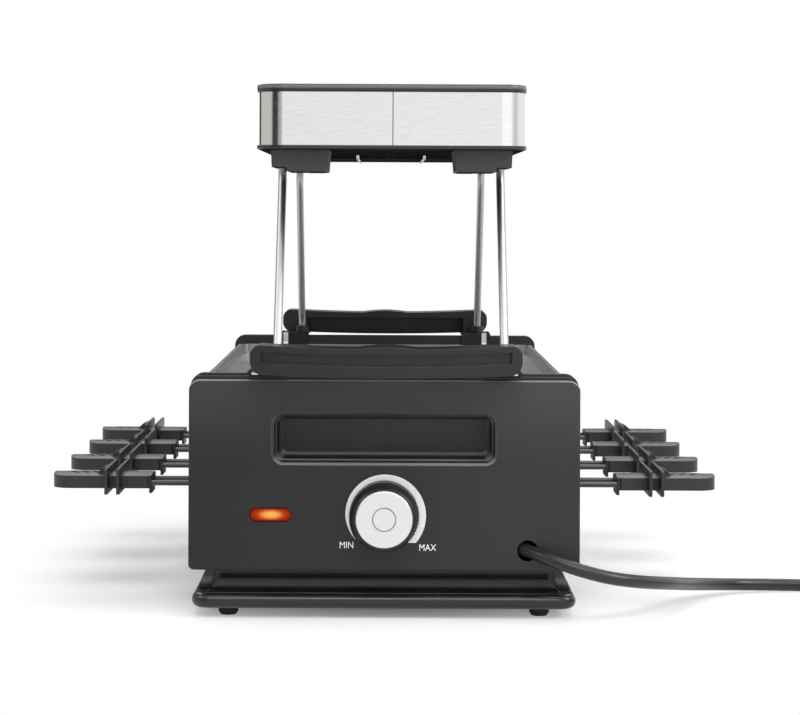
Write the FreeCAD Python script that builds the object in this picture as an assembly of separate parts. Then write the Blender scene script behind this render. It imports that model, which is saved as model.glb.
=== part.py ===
import FreeCAD, Part
import math
import os

# Raclette grill seen on its narrow end: X across, Y along the body, Z up, millimetres.
# The origin is on the table, under the middle of the body. The controls face -Y.

Vec = FreeCAD.Vector
UP = Vec(0, 0, 1)
ALONG_X = Vec(1, 0, 0)
ALONG_Y = Vec(0, 1, 0)

# Body
body_width = 225.6
body_length = 440.0
panel_bottom = 27.5
panel_top = 137.3
panel_sheet = 1.2
panel_flange = 3.5
panel_top_radius = 6.6
panel_low_radius = 3.2
panel_edge_roll = 1.3
frame_rise = 3.2
frame_depth = 11.5
frame_wall = 8.0
frame_sill = 3.5
frame_lip = 2.0
frame_groove = 3.0
frame_lip_drop = 1.3
frame_groove_depth = 3.0
rail_inset = 3.8
rail_drop = 18.7
rail_sheet = 1.2
rail_flange = 6.0
deck_height = 64.0
deck_sheet = 1.2
chamber_gap = 9.0
shield_sheet = 0.8
wall_sheet = 1.2
seat = 0.3
slide_gap = 0.3

# Finger recess drawn into each end panel
grip_width = 130.2
grip_height = 30.2
grip_centre_z = 103.2
grip_depth = 21.5
grip_draft = 4.0
grip_radius = 7.0
grip_roll = 1.4

# Grill plate
plate_side_inset = 3.3
plate_end_gap = 0.6
plate_rim_drop = 6.5
plate_rim_width = 3.6
plate_rim_draft = 1.2
plate_depth = 6.8
plate_floor = 4.5
plate_corner = 9.0
plate_rim_round = 1.2

# Plate handles
handle_face = 32.0
handle_depth = 28.0
handle_bow = 4.5
handle_height = 18.1
handle_dip = 1.9
handle_hump = 1.4
handle_hump_half = 17.0
handle_base_drop = 0.3
handle_base_sag = 1.4
handle_corner = 6.0
handle_heel = 7.2
handle_scoop_inset = 6.0
handle_scoop_depth = 3.0
handle_scoop_high_drop = 3.6
handle_scoop_low_drop = 10.1
handle_scoop_sag = 1.7
front_handle_shift = 0.8
strap_sheet = 1.2
strap_width = 21.6
strap_proud = 1.6
strap_reach = 16.0
strap_foot = 3.4

# Hood on four rods
hood_shift = 3.5
hood_width = 157.0
hood_length = 432.0
hood_low = 270.1
hood_height = 37.9
hood_rim = 2.4
hood_top_rim = 4.2
hood_lap = 1.3
hood_corner = 15.0
band_sheet = 0.8
band_seam = 0.5
seam_shift = 0.6
hood_wall = 2.0
fan_plate_rise = 16.9
fan_plate_sheet = 1.5
fan_spacing = 210.0
fan_radius = 31.0
fan_gap = 1.5
fan_hub = 12.0
fan_blades = 7
motor_radius = 11.0
motor_arm_radius = 36.0
rotor_shaft = 1.15
filter_thickness = 4.0
filter_lift = 0.8
filter_gap = 0.6
hood_floor = 2.0
runner_spread = 21.7
runner_radius = 0.9
runner_drop = 1.6
runner_start = -30.0
cell_radius = 6.9
cell_length = 48.0
button_radius = 7.0
button_proud = 0.8
leg_diameter = 5.0
leg_inset = 12.8
leg_strap_edge = 12.9
leg_foot_inset = 5.5
leg_top_inset = 58.0
leg_foot_straight = 3.14124
leg_top_drop = 16.1
leg_bend_radius = 16.0
leg_fit = 0.05
bracket_width = 33.7
bracket_edge = 4.5
bracket_step_inset = 4.7
bracket_drop = 12.9
bracket_step_drop = 10.3
rear_bracket_width = 22.2
rear_bracket_drop = 8.6
rear_bracket_step_drop = 7.6
bracket_end_inset = 8.0
bracket_length = 66.0

# Pans
pan_pitch = 99.5
pans_per_side = 4
pan_size_x = 86.0
pan_size_y = 86.0
pan_depth = 15.0
pan_sheet = 1.0
pan_draft = 4.0
pan_corner = 14.0
pan_lip = 1.8
pan_setback = 11.0
pan_wire = 3.2
pan_wire_spread = 14.0
pan_wire_rise = 7.0
pan_rest_out = (0.0, 2.3, 2.6, 5.0)
grip_stand_off = 26.6
grip_length = 59.5
grip_half = 15.0
grip_below = 3.1
grip_above = 4.3
grip_shell = 2.2
grip_crown = 90.0
grip_tip_radius = 11.0
fin_sheet = 1.7
fin_half = 29.0
fin_below = 5.4
fin_above = 9.8
fin_offsets = (17.8, 24.8)
fin_web = 7.0

# Controls
control_z = 59.5
knob_radius = 20.2
knob_front = 21.0
knob_skirt = 8.0
knob_gap = 0.9
knob_cap_radius = 16.2
knob_ribs = 60
knob_ring_radius = 7.0
shaft_radius = 3.0
shaft_fit = 0.05
lamp_x = -65.6
lamp_width = 24.6
lamp_height = 7.9
lamp_proud = 1.2
outlet_x = 82.6
outlet_z = 39.3
outlet_radius = 6.1

# Heating element
element_radius = 3.25
element_seat = 0.15
element_bend = 22.0
element_far_gap = 38.0
element_near_gap = 56.0
element_cold_end = 3.0
bracket_strip = 1.6

# Base
bead_inset = 1.8
bead_reach = 2.0
bead_low = 5.5
bead_high = 13.8
bead_side = 10.0
bead_end = 24.0
bead_corner = 10.0
foot_radius = 5.8
foot_inset_x = 20.7
foot_inset_y = 17.5
post_length = 22.0
post_gap = 17.0
post_feet = (2.1, 9.8)
cove_flare = (14.0, 15.4, 12.5, 8.0)
post_heads = (8.5, 13.4)

# Mains lead
cord_diameter = 7.5
exit_direction = Vec(0.603, -0.788, -0.126)
exit_inside = 4.5
coil_centre = Vec(305, -160, 0)
coil_radius = 47.0
coil_pitch = 8.3
coil_layer_turns = 1.875
coil_layer_rise = 8.2
plug_radius = 18.5
plug_height = 21.0
plug_neck = 24.0
pin_radius = 2.4
pin_spacing = 19.0
pin_length = 19.0

panel_y = body_length / 2
frame_front = panel_y - panel_flange
frame_back = frame_front - frame_depth
frame_top = panel_top + frame_rise
chamber_half = frame_back - chamber_gap

plate_half_x = body_width / 2 - plate_side_inset
plate_rim_top = frame_top - plate_rim_drop
plate_floor_top = plate_rim_top - plate_depth
plate_under = plate_floor_top - plate_floor
rail_outer = body_width / 2 - rail_inset
rail_bottom = plate_under - rail_drop
rail_top = plate_under + 4.0 - seat

element_z = rail_bottom + rail_sheet + bracket_strip + element_radius + element_seat
element_far = chamber_half - element_far_gap
element_near = chamber_half - element_near_gap

hood_top = hood_low + hood_height
hood_half_x = hood_width / 2
hood_half_y = hood_length / 2
hood_inner_x = hood_half_x - hood_lap - band_sheet
hood_inner_y = hood_half_y - hood_lap - band_sheet
fan_plate_low = hood_low + fan_plate_rise

strap_low = frame_top + 0.6
strap_top = strap_low + strap_sheet
leg_spread = hood_half_x - leg_inset
strap_outer = leg_spread + leg_strap_edge
strap_inner = strap_outer - strap_width
handle_width = 2 * (strap_outer - strap_proud)
handle_top = frame_top + handle_height
handle_base = frame_top - handle_base_drop
handle_base_ends = handle_base + handle_base_sag
handle_scoop_half = handle_width / 2 - handle_scoop_inset
handle_scoop_high = handle_top - handle_scoop_high_drop
handle_scoop_low = handle_top - handle_scoop_low_drop

bracket_outer = leg_spread + bracket_edge
bracket_inner = bracket_outer - bracket_width
rear_bracket_inner = bracket_outer - rear_bracket_width
bracket_step = leg_spread - bracket_step_inset
bracket_end = hood_half_y - bracket_end_inset
leg_foot_y = panel_y - leg_foot_inset
leg_top_y = bracket_end - leg_top_inset
leg_top_bend_z = hood_low - leg_top_drop
leg_socket_top = hood_low - 1.5

pan_inner_edge = rail_outer - pan_setback - pan_size_x
pan_wire_z = deck_height + pan_wire_rise
grip_inner = body_width / 2 + grip_stand_off
grip_outer = grip_inner + grip_length
grip_low = pan_wire_z - grip_below
grip_high = pan_wire_z + grip_above
fin_low = pan_wire_z - fin_below
fin_high = pan_wire_z + fin_above
fin_places = [grip_inner + offset for offset in fin_offsets]

bead_half_x = body_width / 2 - bead_inset
bead_half_y = panel_y + bead_reach
foot_x = bead_half_x - foot_inset_x
foot_y = bead_half_y - foot_inset_y
post_end = frame_back - post_gap
cord_radius = cord_diameter / 2


def box(x0, x1, y0, y1, z0, z1):
    return Part.makeBox(x1 - x0, y1 - y0, z1 - z0, Vec(x0, y0, z0))


def centred(half_x, half_y, z0, z1):
    return box(-half_x, half_x, -half_y, half_y, z0, z1)


def rounded(half_x, half_y, radius, z0, z1):
    """A block with upright edges rounded."""
    block = centred(half_x, half_y, z0, z1)
    upright = [e for e in block.Edges if abs(e.tangentAt(e.FirstParameter).z) > 0.9]
    return block.makeFillet(radius, upright)


def rounded_wire(half_x, half_y, radius, z, centre=(0.0, 0.0)):
    """A rounded rectangle across Z, made of four lines and four arcs."""
    cx, cy = centre
    lines = []
    quarter = math.sin(math.pi / 4) * radius
    corners = [(1, 1), (-1, 1), (-1, -1), (1, -1)]
    for i, (sx, sy) in enumerate(corners):
        px, py = cx + sx * (half_x - radius), cy + sy * (half_y - radius)
        ends = [Vec(px + sx * radius, py, z), Vec(px, py + sy * radius, z)]
        if i % 2:
            ends.reverse()
        lines.append((ends[0], Vec(px + sx * quarter, py + sy * quarter, z), ends[1]))
    edges = []
    for i, (start, mid, end) in enumerate(lines):
        edges.append(Part.Arc(start, mid, end).toShape())
        following = lines[(i + 1) % 4][0]
        edges.append(Part.LineSegment(end, following).toShape())
    return Part.Wire(edges)


def ruled(sections):
    return Part.makeLoft(sections, True, True)


def polygon(points):
    return Part.Face(Part.makePolygon(list(points) + [points[0]]))


def across(points, x0, x1):
    """A YZ outline drawn out along X."""
    face = polygon([Vec(x0, y, z) for y, z in points])
    return face.extrude(Vec(x1 - x0, 0, 0))


def along(points, y0, y1):
    """An XZ outline drawn out along Y."""
    face = polygon([Vec(x, y0, z) for x, z in points])
    return face.extrude(Vec(0, y1 - y0, 0))


def disc(radius, centre, direction, length):
    return Part.makeCylinder(radius, length, centre, direction)


def mirror_x(shape):
    return shape.mirror(Vec(0, 0, 0), ALONG_X)


def mirror_y(shape):
    return shape.mirror(Vec(0, 0, 0), ALONG_Y)


def fillet_near(shape, radius, test):
    chosen = [e for e in shape.Edges if test(e.CenterOfMass, e)]
    return shape.makeFillet(radius, chosen)


def write(name, *shapes):
    shape = shapes[0] if len(shapes) == 1 else Part.makeCompound(list(shapes))
    shape.exportStep(os.path.join("parts", name + ".step"))


def sweep(wire, radius, start, direction):
    ring = Part.Wire(Part.makeCircle(radius, start, direction))
    return wire.makePipeShell([ring], True, False)


def bent_path(points, radius=None):
    """Straight runs joined by tangent arcs. With no radius each arc is as large as its runs allow."""
    edges = []
    radii = []
    here = points[0]
    for before, corner, after in zip(points, points[1:], points[2:]):
        back = (before - corner).normalize()
        onward = (after - corner).normalize()
        half_turn = (math.pi - back.getAngle(onward)) / 2
        shorter = min((corner - before).Length, (after - corner).Length)
        bend = radius or 0.45 * shorter / math.tan(half_turn)
        cut = bend * math.tan(half_turn)
        start = corner + back * cut
        end = corner + onward * cut
        inward = (back + onward).normalize()
        middle = corner + inward * (bend / math.cos(half_turn) - bend)
        edges.append(Part.LineSegment(here, start).toShape())
        edges.append(Part.Arc(start, middle, end).toShape())
        radii.append(bend)
        here = end
    edges.append(Part.LineSegment(here, points[-1]).toShape())
    return Part.Wire(edges), radii


# End panels

def panel_wire(half_x, z0, z1, y, top_radius, low_radius):
    """Upright outline with its own radius at the top and bottom corners."""
    corners = [(1, z1, top_radius), (-1, z1, top_radius), (-1, z0, low_radius), (1, z0, low_radius)]
    arcs = []
    for i, (sx, z, radius) in enumerate(corners):
        sz = 1 if i < 2 else -1
        px = sx * (half_x - radius)
        pz = z - sz * radius
        quarter = math.sin(math.pi / 4) * radius
        ends = [Vec(px + sx * radius, y, pz), Vec(px, y, pz + sz * radius)]
        if i % 2:
            ends.reverse()
        arcs.append((ends[0], Vec(px + sx * quarter, y, pz + sz * quarter), ends[1]))
    edges = []
    for i, (start, middle, end) in enumerate(arcs):
        edges.append(Part.Arc(start, middle, end).toShape())
        edges.append(Part.LineSegment(end, arcs[(i + 1) % 4][0]).toShape())
    return Part.Wire(edges)


def panel_block(inset, y0, y1):
    wire = panel_wire(
        body_width / 2 - inset,
        panel_bottom + inset,
        panel_top - inset,
        y0,
        panel_top_radius - inset,
        panel_low_radius - inset,
    )
    return Part.Face(wire).extrude(Vec(0, y1 - y0, 0))


def grip_section(inset, depth, radius):
    half_x = grip_width / 2 - inset
    half_z = grip_height / 2 - inset
    z0 = grip_centre_z - half_z
    z1 = grip_centre_z + half_z
    return panel_wire(half_x, z0, z1, -panel_y + depth, radius, radius)


def grip_form(grow, depth_extra):
    """The drawn recess: a rolled edge, a ledge part of the way in, a drafted wall and a rounded floor."""
    steps = [
        (0.0, 0.0, grip_radius),
        (grip_roll, grip_roll, grip_radius - grip_roll),
        (grip_roll + 0.6, 8.0, grip_radius - 2.0),
        (grip_roll + 1.4, 8.8, grip_radius - 2.2),
        (grip_draft, grip_depth - 1.6, grip_radius - 3.0),
        (grip_draft + 1.6, grip_depth, grip_radius - 3.6),
    ]
    sections = [grip_section(inset - grow, depth, radius + grow) for inset, depth, radius in steps]
    if depth_extra:
        last = steps[-1]
        sections.append(grip_section(last[0] - grow, last[1] + depth_extra, last[2] + grow))
    return ruled(sections)


def end_panel():
    shell = panel_block(0.0, -panel_y, -frame_front)
    front = [e for e in shell.Edges if abs(e.CenterOfMass.y + panel_y) < 0.01]
    shell = shell.makeFillet(panel_edge_roll, front)
    shell = shell.cut(panel_block(panel_sheet, -panel_y + panel_sheet, -frame_front + 1))
    pocket = grip_form(panel_sheet, panel_sheet)
    pocket = pocket.cut(box(-body_width, body_width, -panel_y - 5, -panel_y + panel_sheet / 2, 0, frame_top))
    return shell.fuse(pocket).cut(grip_form(0.0, 0.0)).removeSplitter()


def stadium(width, height, y0, y1, centre_x):
    flat = (width - height) / 2
    body = box(centre_x - flat, centre_x + flat, y0, y1, control_z - height / 2, control_z + height / 2)
    for x in (centre_x - flat, centre_x + flat):
        body = body.fuse(disc(height / 2, Vec(x, y0, control_z), ALONG_Y, y1 - y0))
    return body.removeSplitter()


def front_panel():
    panel = end_panel()
    through = 3 * panel_sheet
    start = -panel_y - panel_sheet
    panel = panel.cut(disc(shaft_radius + 1.5, Vec(0, start, control_z), ALONG_Y, through))
    panel = panel.cut(disc(outlet_radius, Vec(outlet_x, start, outlet_z), ALONG_Y, through))
    return panel.cut(stadium(lamp_width + 0.2, lamp_height + 0.2, start, start + through, lamp_x))


def end_frame():
    """Moulded frame behind the front panel; its top stands above the panel as a lip, a groove and a wall."""
    outer = panel_wire(
        body_width / 2 - 0.8,
        panel_bottom + 0.4,
        frame_top,
        -frame_front,
        panel_top_radius + 1.0,
        panel_low_radius,
    )
    block = Part.Face(outer).extrude(Vec(0, frame_depth, 0))
    window = box(
        -body_width / 2 + frame_wall,
        body_width / 2 - frame_wall,
        -frame_front - 1,
        -frame_back + 1,
        panel_bottom + frame_sill,
        plate_under,
    )
    block = block.cut(window)
    lip_back = -frame_front + frame_lip
    groove_back = lip_back + frame_groove
    lip_z = frame_top - frame_lip_drop
    block = block.cut(box(-body_width, body_width, -frame_front - 1, lip_back, lip_z, frame_top + 1))
    groove = box(-body_width, body_width, lip_back, groove_back, lip_z - frame_groove_depth, frame_top + 1)
    return block.cut(groove)


# Body between the ends

def side_rail():
    """Steel channel under the plate's long edge, open towards the middle."""
    bottom = rail_bottom
    points = [
        (rail_outer, bottom),
        (rail_outer, rail_top),
        (rail_outer - rail_flange, rail_top),
        (rail_outer - rail_flange, rail_top - rail_sheet),
        (rail_outer - rail_sheet, rail_top - rail_sheet),
        (rail_outer - rail_sheet, bottom + rail_sheet),
        (rail_outer - rail_flange, bottom + rail_sheet),
        (rail_outer - rail_flange, bottom),
    ]
    return along(points, -frame_back, frame_back)


def pan_places():
    first = -pan_pitch * (pans_per_side - 1) / 2
    return [first + i * pan_pitch for i in range(pans_per_side)]


def pan_deck():
    """Shelf that the pans slide on, pressed up into a low rib between neighbours."""
    deck = centred(rail_outer - wall_sheet, chamber_half, deck_height - deck_sheet, deck_height)
    rib_half = 4.0
    rib_high = 6.0
    for place in pan_places()[:-1]:
        y = place + pan_pitch / 2
        for side in (-1, 1):
            x0, x1 = sorted((side * 8.0, side * (rail_outer - 8.0)))
            outline = [
                (y - rib_half, deck_height - 0.1),
                (y - rib_half / 3, deck_height + rib_high),
                (y + rib_half / 3, deck_height + rib_high),
                (y + rib_half, deck_height - 0.1),
            ]
            deck = deck.fuse(across(outline, x0, x1))
    return deck.removeSplitter()


def lower_wall():
    top = deck_height - deck_sheet
    points = [
        (rail_outer, panel_bottom),
        (rail_outer, top),
        (rail_outer - rail_flange, top),
        (rail_outer - rail_flange, top - wall_sheet),
        (rail_outer - wall_sheet, top - wall_sheet),
        (rail_outer - wall_sheet, panel_bottom),
    ]
    return along(points, -frame_back, frame_back)


def bottom_plate():
    return centred(rail_outer - wall_sheet, frame_back, panel_bottom, panel_bottom + wall_sheet)


def end_shield(with_holes):
    shield = box(
        -rail_outer + rail_flange + 1,
        rail_outer - rail_flange - 1,
        -chamber_half - shield_sheet,
        -chamber_half,
        deck_height - deck_sheet,
        plate_under - 1.0,
    )
    if with_holes:
        for side in (-1, 1):
            centre = Vec(side * 3 * element_bend, -chamber_half - 2, element_z)
            shield = shield.cut(disc(element_radius + 0.4, centre, ALONG_Y, 4))
    return shield


def heating_element():
    """One steel tube bent back and forth, with both cold ends at the front."""
    b = element_bend
    start_y = -chamber_half - element_cold_end
    edges = []
    y_far = element_far
    y_near = -element_near
    lanes = [-3 * b, -b, b, 3 * b]
    here = start_y
    for i, x in enumerate(lanes):
        there = (y_far, y_near, y_far, start_y)[i]
        edges.append(Part.LineSegment(Vec(x, here, element_z), Vec(x, there, element_z)).toShape())
        if i < 3:
            tip = there + (b if i != 1 else -b)
            bend = [(x, there), (x + b, tip), (x + 2 * b, there)]
            arc = Part.Arc(*[Vec(u, v, element_z) for u, v in bend])
            edges.append(arc.toShape())
        here = there
    return sweep(Part.Wire(edges), element_radius, Vec(lanes[0], start_y, element_z), ALONG_Y)


def element_strip(y):
    low = rail_bottom + rail_sheet
    half = rail_outer - rail_sheet - 1.0
    strip = centred(half, 5.0, low, low + bracket_strip)
    strip.translate(Vec(0, y, 0))
    return strip


# Base

def base_ring():
    ring = rounded(bead_half_x, bead_half_y, bead_corner, bead_low, bead_high)
    middle = (bead_low + bead_high) / 2
    half = (bead_high - bead_low) / 2
    ring = fillet_near(ring, 0.94 * half, lambda c, e: abs(abs(c.z - middle) - half) < 0.01)
    hole = rounded(bead_half_x - bead_side, bead_half_y - bead_end, 5.0, bead_low - 1, bead_high + 1)
    return ring.cut(hole)


def cove():
    """Hollow sheet between the front bead and the body, flared at both ends."""
    top = -frame_back
    front = -bead_half_y + 5.5
    face = [(top, panel_bottom), (top - 3.0, bead_high + 4.6), (front, bead_high)]
    back = [(front + 4.0, bead_high), (top - 1.0, bead_high + 3.0), (top + 2.0, panel_bottom)]
    face, back = ([Vec(-bead_half_x, y, z) for y, z in side] for side in (face, back))
    edges = [
        Part.Arc(*face).toShape(),
        Part.LineSegment(face[2], back[0]).toShape(),
        Part.Arc(*back).toShape(),
        Part.LineSegment(back[2], face[0]).toShape(),
    ]
    sheet = Part.Face(Part.Wire(edges)).extrude(Vec(2 * bead_half_x, 0, 0))
    y0 = -bead_half_y
    head, waist, bend, heel = (bead_half_x - inset for inset in cove_flare)
    points = [(head, panel_bottom), (waist, panel_bottom - 5.5), (bend, bead_high + 3.7), (heel, bead_high)]
    flare = []
    for side in (-1, 1):
        a, b, c, d = (Vec(side * x, y0, z) for x, z in points)
        flare.append([Part.Arc(a, b, c).toShape(), Part.LineSegment(c, d).toShape()])
    left, right = flare
    top_line = Part.LineSegment(Vec(head, y0, panel_bottom), Vec(-head, y0, panel_bottom)).toShape()
    low_line = Part.LineSegment(Vec(-heel, y0, bead_high), Vec(heel, y0, bead_high)).toShape()
    outline = Part.Wire(Part.__sortEdges__([top_line] + left + [low_line] + right))
    return sheet.common(Part.Face(outline).extrude(Vec(0, 40, 0)))


def base_post(side, y):
    """Leaning post between the bead and the bottom plate."""
    outer_foot, inner_foot = (bead_half_x - inset for inset in post_feet)
    outer_head, inner_head = (bead_half_x - inset for inset in post_heads)
    points = [
        (outer_foot, bead_high),
        (inner_foot, bead_high),
        (inner_head, panel_bottom),
        (outer_head, panel_bottom),
    ]
    return along([(side * x, z) for x, z in points], y - post_length / 2, y + post_length / 2)


def foot(x, y):
    body = disc(foot_radius, Vec(x, y, 1.6), UP, bead_low - 1.6)
    tread = Part.makeCone(foot_radius - 1.2, foot_radius - 0.4, 1.6, Vec(x, y, 0), UP)
    return body.fuse(tread)


# Controls

def thermostat():
    half_x = 17.0
    back = -chamber_half - shield_sheet - 1.5
    front = -frame_front + 2.0
    body = box(-half_x, half_x, front, back, control_z - 14.0, control_z + 14.0)
    bush_start = -panel_y + panel_sheet
    body = body.fuse(disc(shaft_radius + 2.0, Vec(0, bush_start, control_z), ALONG_Y, front - bush_start))
    for side in (-1, 1):
        x0, x1 = sorted((side * half_x, side * (half_x + 6.0)))
        body = body.fuse(box(x0, x1, back - 4.0, back - 2.8, control_z - 3.0, control_z + 3.0))
    depth = front - bush_start + 14.0
    bore = disc(shaft_radius + shaft_fit, Vec(0, bush_start - 1, control_z), ALONG_Y, depth)
    return body.cut(bore).removeSplitter()


def thermostat_shaft():
    tip = -panel_y - knob_front + 5.0
    depth = -frame_front + 12.0
    return disc(shaft_radius, Vec(0, tip, control_z), ALONG_Y, depth - tip)


def knob():
    """Turned profile with a ring of fine ribs round the skirt and a bore for the shaft."""
    base_y = -panel_y - knob_gap
    front_y = -panel_y - knob_front + 2.0
    outline = [
        (0.0, base_y),
        (knob_radius - 0.5, base_y),
        (knob_radius - 0.5, base_y - knob_skirt),
        (knob_radius - 2.4, front_y + 1.5),
        (knob_cap_radius + 0.3, front_y),
        (0.0, front_y),
    ]
    profile = polygon([Vec(r, y, control_z) for r, y in outline])
    body = profile.revolve(Vec(0, 0, control_z), ALONG_Y, 360)
    step = 360.0 / knob_ribs
    radius = knob_radius - 0.5
    points = []
    for i in range(knob_ribs):
        for offset, r in ((-0.5, radius - 0.35), (0.0, knob_radius)):
            angle = math.radians((i + offset) * step)
            points.append(Vec(r * math.cos(angle), base_y, control_z + r * math.sin(angle)))
    ribs = polygon(points).extrude(Vec(0, -knob_skirt, 0))
    body = body.fuse(ribs)
    bore = disc(shaft_radius + shaft_fit, Vec(0, base_y + 1, control_z), Vec(0, -1, 0), knob_front - 4.0)
    return body.cut(bore)


def knob_cap():
    back = -panel_y - knob_front + 2.0
    cap = disc(knob_cap_radius, Vec(0, back, control_z), Vec(0, -1, 0), 2.0)
    cap = fillet_near(cap, 0.7, lambda c, e: abs(c.y - back + 2.0) < 0.01)
    ring = disc(knob_ring_radius, Vec(0, back - 1.6, control_z), Vec(0, -1, 0), 1.0)
    ring = ring.cut(disc(knob_ring_radius - 0.7, Vec(0, back - 1.0, control_z), Vec(0, -1, 0), 2.0))
    return cap.cut(ring)


def lamp_lens():
    lens = stadium(lamp_width, lamp_height, -panel_y - lamp_proud, -frame_front, lamp_x)
    return fillet_near(lens, 0.9, lambda c, e: abs(c.y + panel_y + lamp_proud) < 0.01)


def lamp_holder():
    back = -frame_front + 11.0
    body = box(lamp_x - 15.0, lamp_x + 15.0, -frame_front, back, control_z - 6.0, control_z + 2.0)
    for x in (lamp_x - 8.0, lamp_x + 8.0):
        body = body.fuse(box(x - 3.0, x + 3.0, back, back + 4.0, control_z - 4.0, control_z - 3.2))
    return body


def terminal_block():
    low = panel_bottom + wall_sheet
    block = box(-60.0, -24.0, -frame_back + 1.0, -frame_back + 15.0, low, low + 14.0)
    for i in range(3):
        x = -54.0 + 12.0 * i
        block = block.cut(disc(2.6, Vec(x, -frame_back + 8.0, low + 8.0), UP, 8.0))
    return block


exit_way = Vec(exit_direction).normalize()
outlet = Vec(outlet_x, -panel_y + panel_sheet / 2, outlet_z)
exit_point = outlet - exit_way * exit_inside


def cable_gland():
    """Tapered strain relief behind the panel's hole, clamped down to the bottom plate."""
    length = 21.0
    back = exit_point - exit_way * length
    sleeve = Part.makeCone(6.5, 4.4, length, back, exit_way)
    low = panel_bottom + wall_sheet
    clamp = box(back.x - 3.0, back.x + 9.0, -frame_back + 0.5, back.y + 1.0, low, back.z)
    return sleeve.fuse(clamp).removeSplitter()


# Grill plate and its handles

def grill_plate():
    half_x = plate_half_x
    half_y = frame_back - plate_end_gap
    under = rail_top + seat
    lower_x = rail_outer - rail_flange - 2.0
    lower_y = half_y - 3.0
    rim = rounded(half_x, half_y, plate_corner, under, plate_rim_top)
    rim = fillet_near(rim, plate_rim_round, lambda c, e: abs(c.z - plate_rim_top) < 0.01)
    body = rim.fuse(rounded(lower_x, lower_y, plate_corner - 3.0, plate_under, under + 0.1))
    inner_x = half_x - plate_rim_width
    inner_y = half_y - plate_rim_width
    well = ruled([
        rounded_wire(inner_x - plate_rim_draft, inner_y - plate_rim_draft, 5.0, plate_floor_top),
        rounded_wire(inner_x + 0.4, inner_y + 0.4, 6.0, plate_rim_top + 1.0),
    ])
    return body.cut(well).removeSplitter()


def handle_outline(y):
    """Front view of a plate handle: round corners, a dipped top with a thumb hump, a base that sags."""
    half = handle_width / 2
    r = handle_corner
    hump = handle_hump_half
    dip_z = handle_top - handle_dip
    hump_z = dip_z + handle_hump
    shoulder = handle_top
    q = r * (1 - math.sin(math.pi / 4))
    heel = handle_heel
    edges = []
    right = [
        Part.Arc(Vec(0, y, hump_z), Vec(hump * 0.55, y, hump_z - 0.35 * handle_hump), Vec(hump, y, dip_z)),
        Part.Arc(Vec(hump, y, dip_z), Vec(half * 0.5, y, dip_z + 0.5), Vec(half - r, y, shoulder)),
        Part.Arc(Vec(half - r, y, shoulder), Vec(half - q, y, shoulder - q), Vec(half, y, shoulder - r)),
        Part.LineSegment(Vec(half, y, shoulder - r), Vec(half, y, handle_base_ends + heel)),
        Part.Arc(
            Vec(half, y, handle_base_ends + heel),
            Vec(half - 0.27 * heel, y, handle_base_ends + 0.36 * heel),
            Vec(half - 1.2 * heel, y, handle_base_ends),
        ),
        Part.Arc(
            Vec(half - 1.2 * heel, y, handle_base_ends),
            Vec(half * 0.44, y, handle_base + 0.35),
            Vec(0, y, handle_base),
        ),
    ]
    for curve in right:
        edge = curve.toShape()
        edges.append(edge)
        edges.append(edge.mirror(Vec(0, 0, 0), ALONG_X))
    return Part.Wire(Part.__sortEdges__(edges))


def strap_profile():
    """Side view of a handle strap: foot on the plate's rim, up and over the end frame, into the handle."""
    rim_end = -(frame_back - plate_end_gap)
    rise = rim_end + 1.0
    outer = -panel_y - strap_reach
    t = strap_sheet
    return [
        (outer, strap_low),
        (rise, strap_low),
        (rise, plate_rim_top),
        (rise + strap_foot, plate_rim_top),
        (rise + strap_foot, plate_rim_top + t),
        (rise + t, plate_rim_top + t),
        (rise + t, strap_top),
        (outer, strap_top),
    ]


def strap(side):
    x0, x1 = sorted((side * strap_inner, side * strap_outer))
    return across(strap_profile(), x0, x1)


def plate_handle():
    face = -panel_y - handle_face
    back = face + handle_depth
    bar = Part.Face(handle_outline(face)).extrude(Vec(0, handle_depth, 0))
    half = handle_width / 2
    bow_radius = (half * half + handle_bow * handle_bow) / (2 * handle_bow)
    bow = disc(bow_radius, Vec(0, face + bow_radius, handle_base - 5), UP, handle_top - handle_base + 10)
    bar = bar.common(bow)
    lens_x = handle_scoop_half
    high, low = handle_scoop_high, handle_scoop_low
    sag = handle_scoop_sag
    arc_high = Part.Arc(Vec(-lens_x, face, high), Vec(0, face, high - sag), Vec(lens_x, face, high))
    arc_low = Part.Arc(Vec(lens_x, face, low), Vec(0, face, low - sag), Vec(-lens_x, face, low))
    sides = [
        Part.LineSegment(Vec(lens_x, face, high), Vec(lens_x, face, low)),
        Part.LineSegment(Vec(-lens_x, face, low), Vec(-lens_x, face, high)),
    ]
    outline = Part.Wire(Part.__sortEdges__([c.toShape() for c in [arc_high, arc_low] + sides]))
    scoop = Part.Face(outline).extrude(Vec(0, handle_bow + handle_scoop_depth, 0))
    ring = disc(bow_radius - handle_scoop_depth, Vec(0, face + bow_radius, 0), UP, frame_top * 2)
    scoop = scoop.cut(ring)
    bar = bar.cut(scoop)
    hollow = box(-half + 18.0, half - 18.0, back - 14.0, back + 1, handle_base - 5, handle_top - 6.0)
    bar = bar.cut(hollow)
    for side in (-1, 1):
        x0, x1 = sorted((side * (strap_inner - 1.0), side * (strap_outer + 1.0)))
        bar = bar.cut(box(x0, x1, -panel_y - strap_reach - 0.1, back + 1, handle_base - 5, strap_top + 0.1))
    return bar


def leg_cup(side, end):
    centre = Vec(hood_shift + side * leg_spread, end * leg_foot_y, strap_top)
    cup = disc(leg_diameter / 2 + 2.2, centre, UP, 5.0)
    return cup.cut(disc(leg_diameter / 2 + 0.5, centre, UP, 6.0))


# Hood

def hooded(shape):
    shape.translate(Vec(hood_shift, 0, 0))
    return shape


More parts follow.
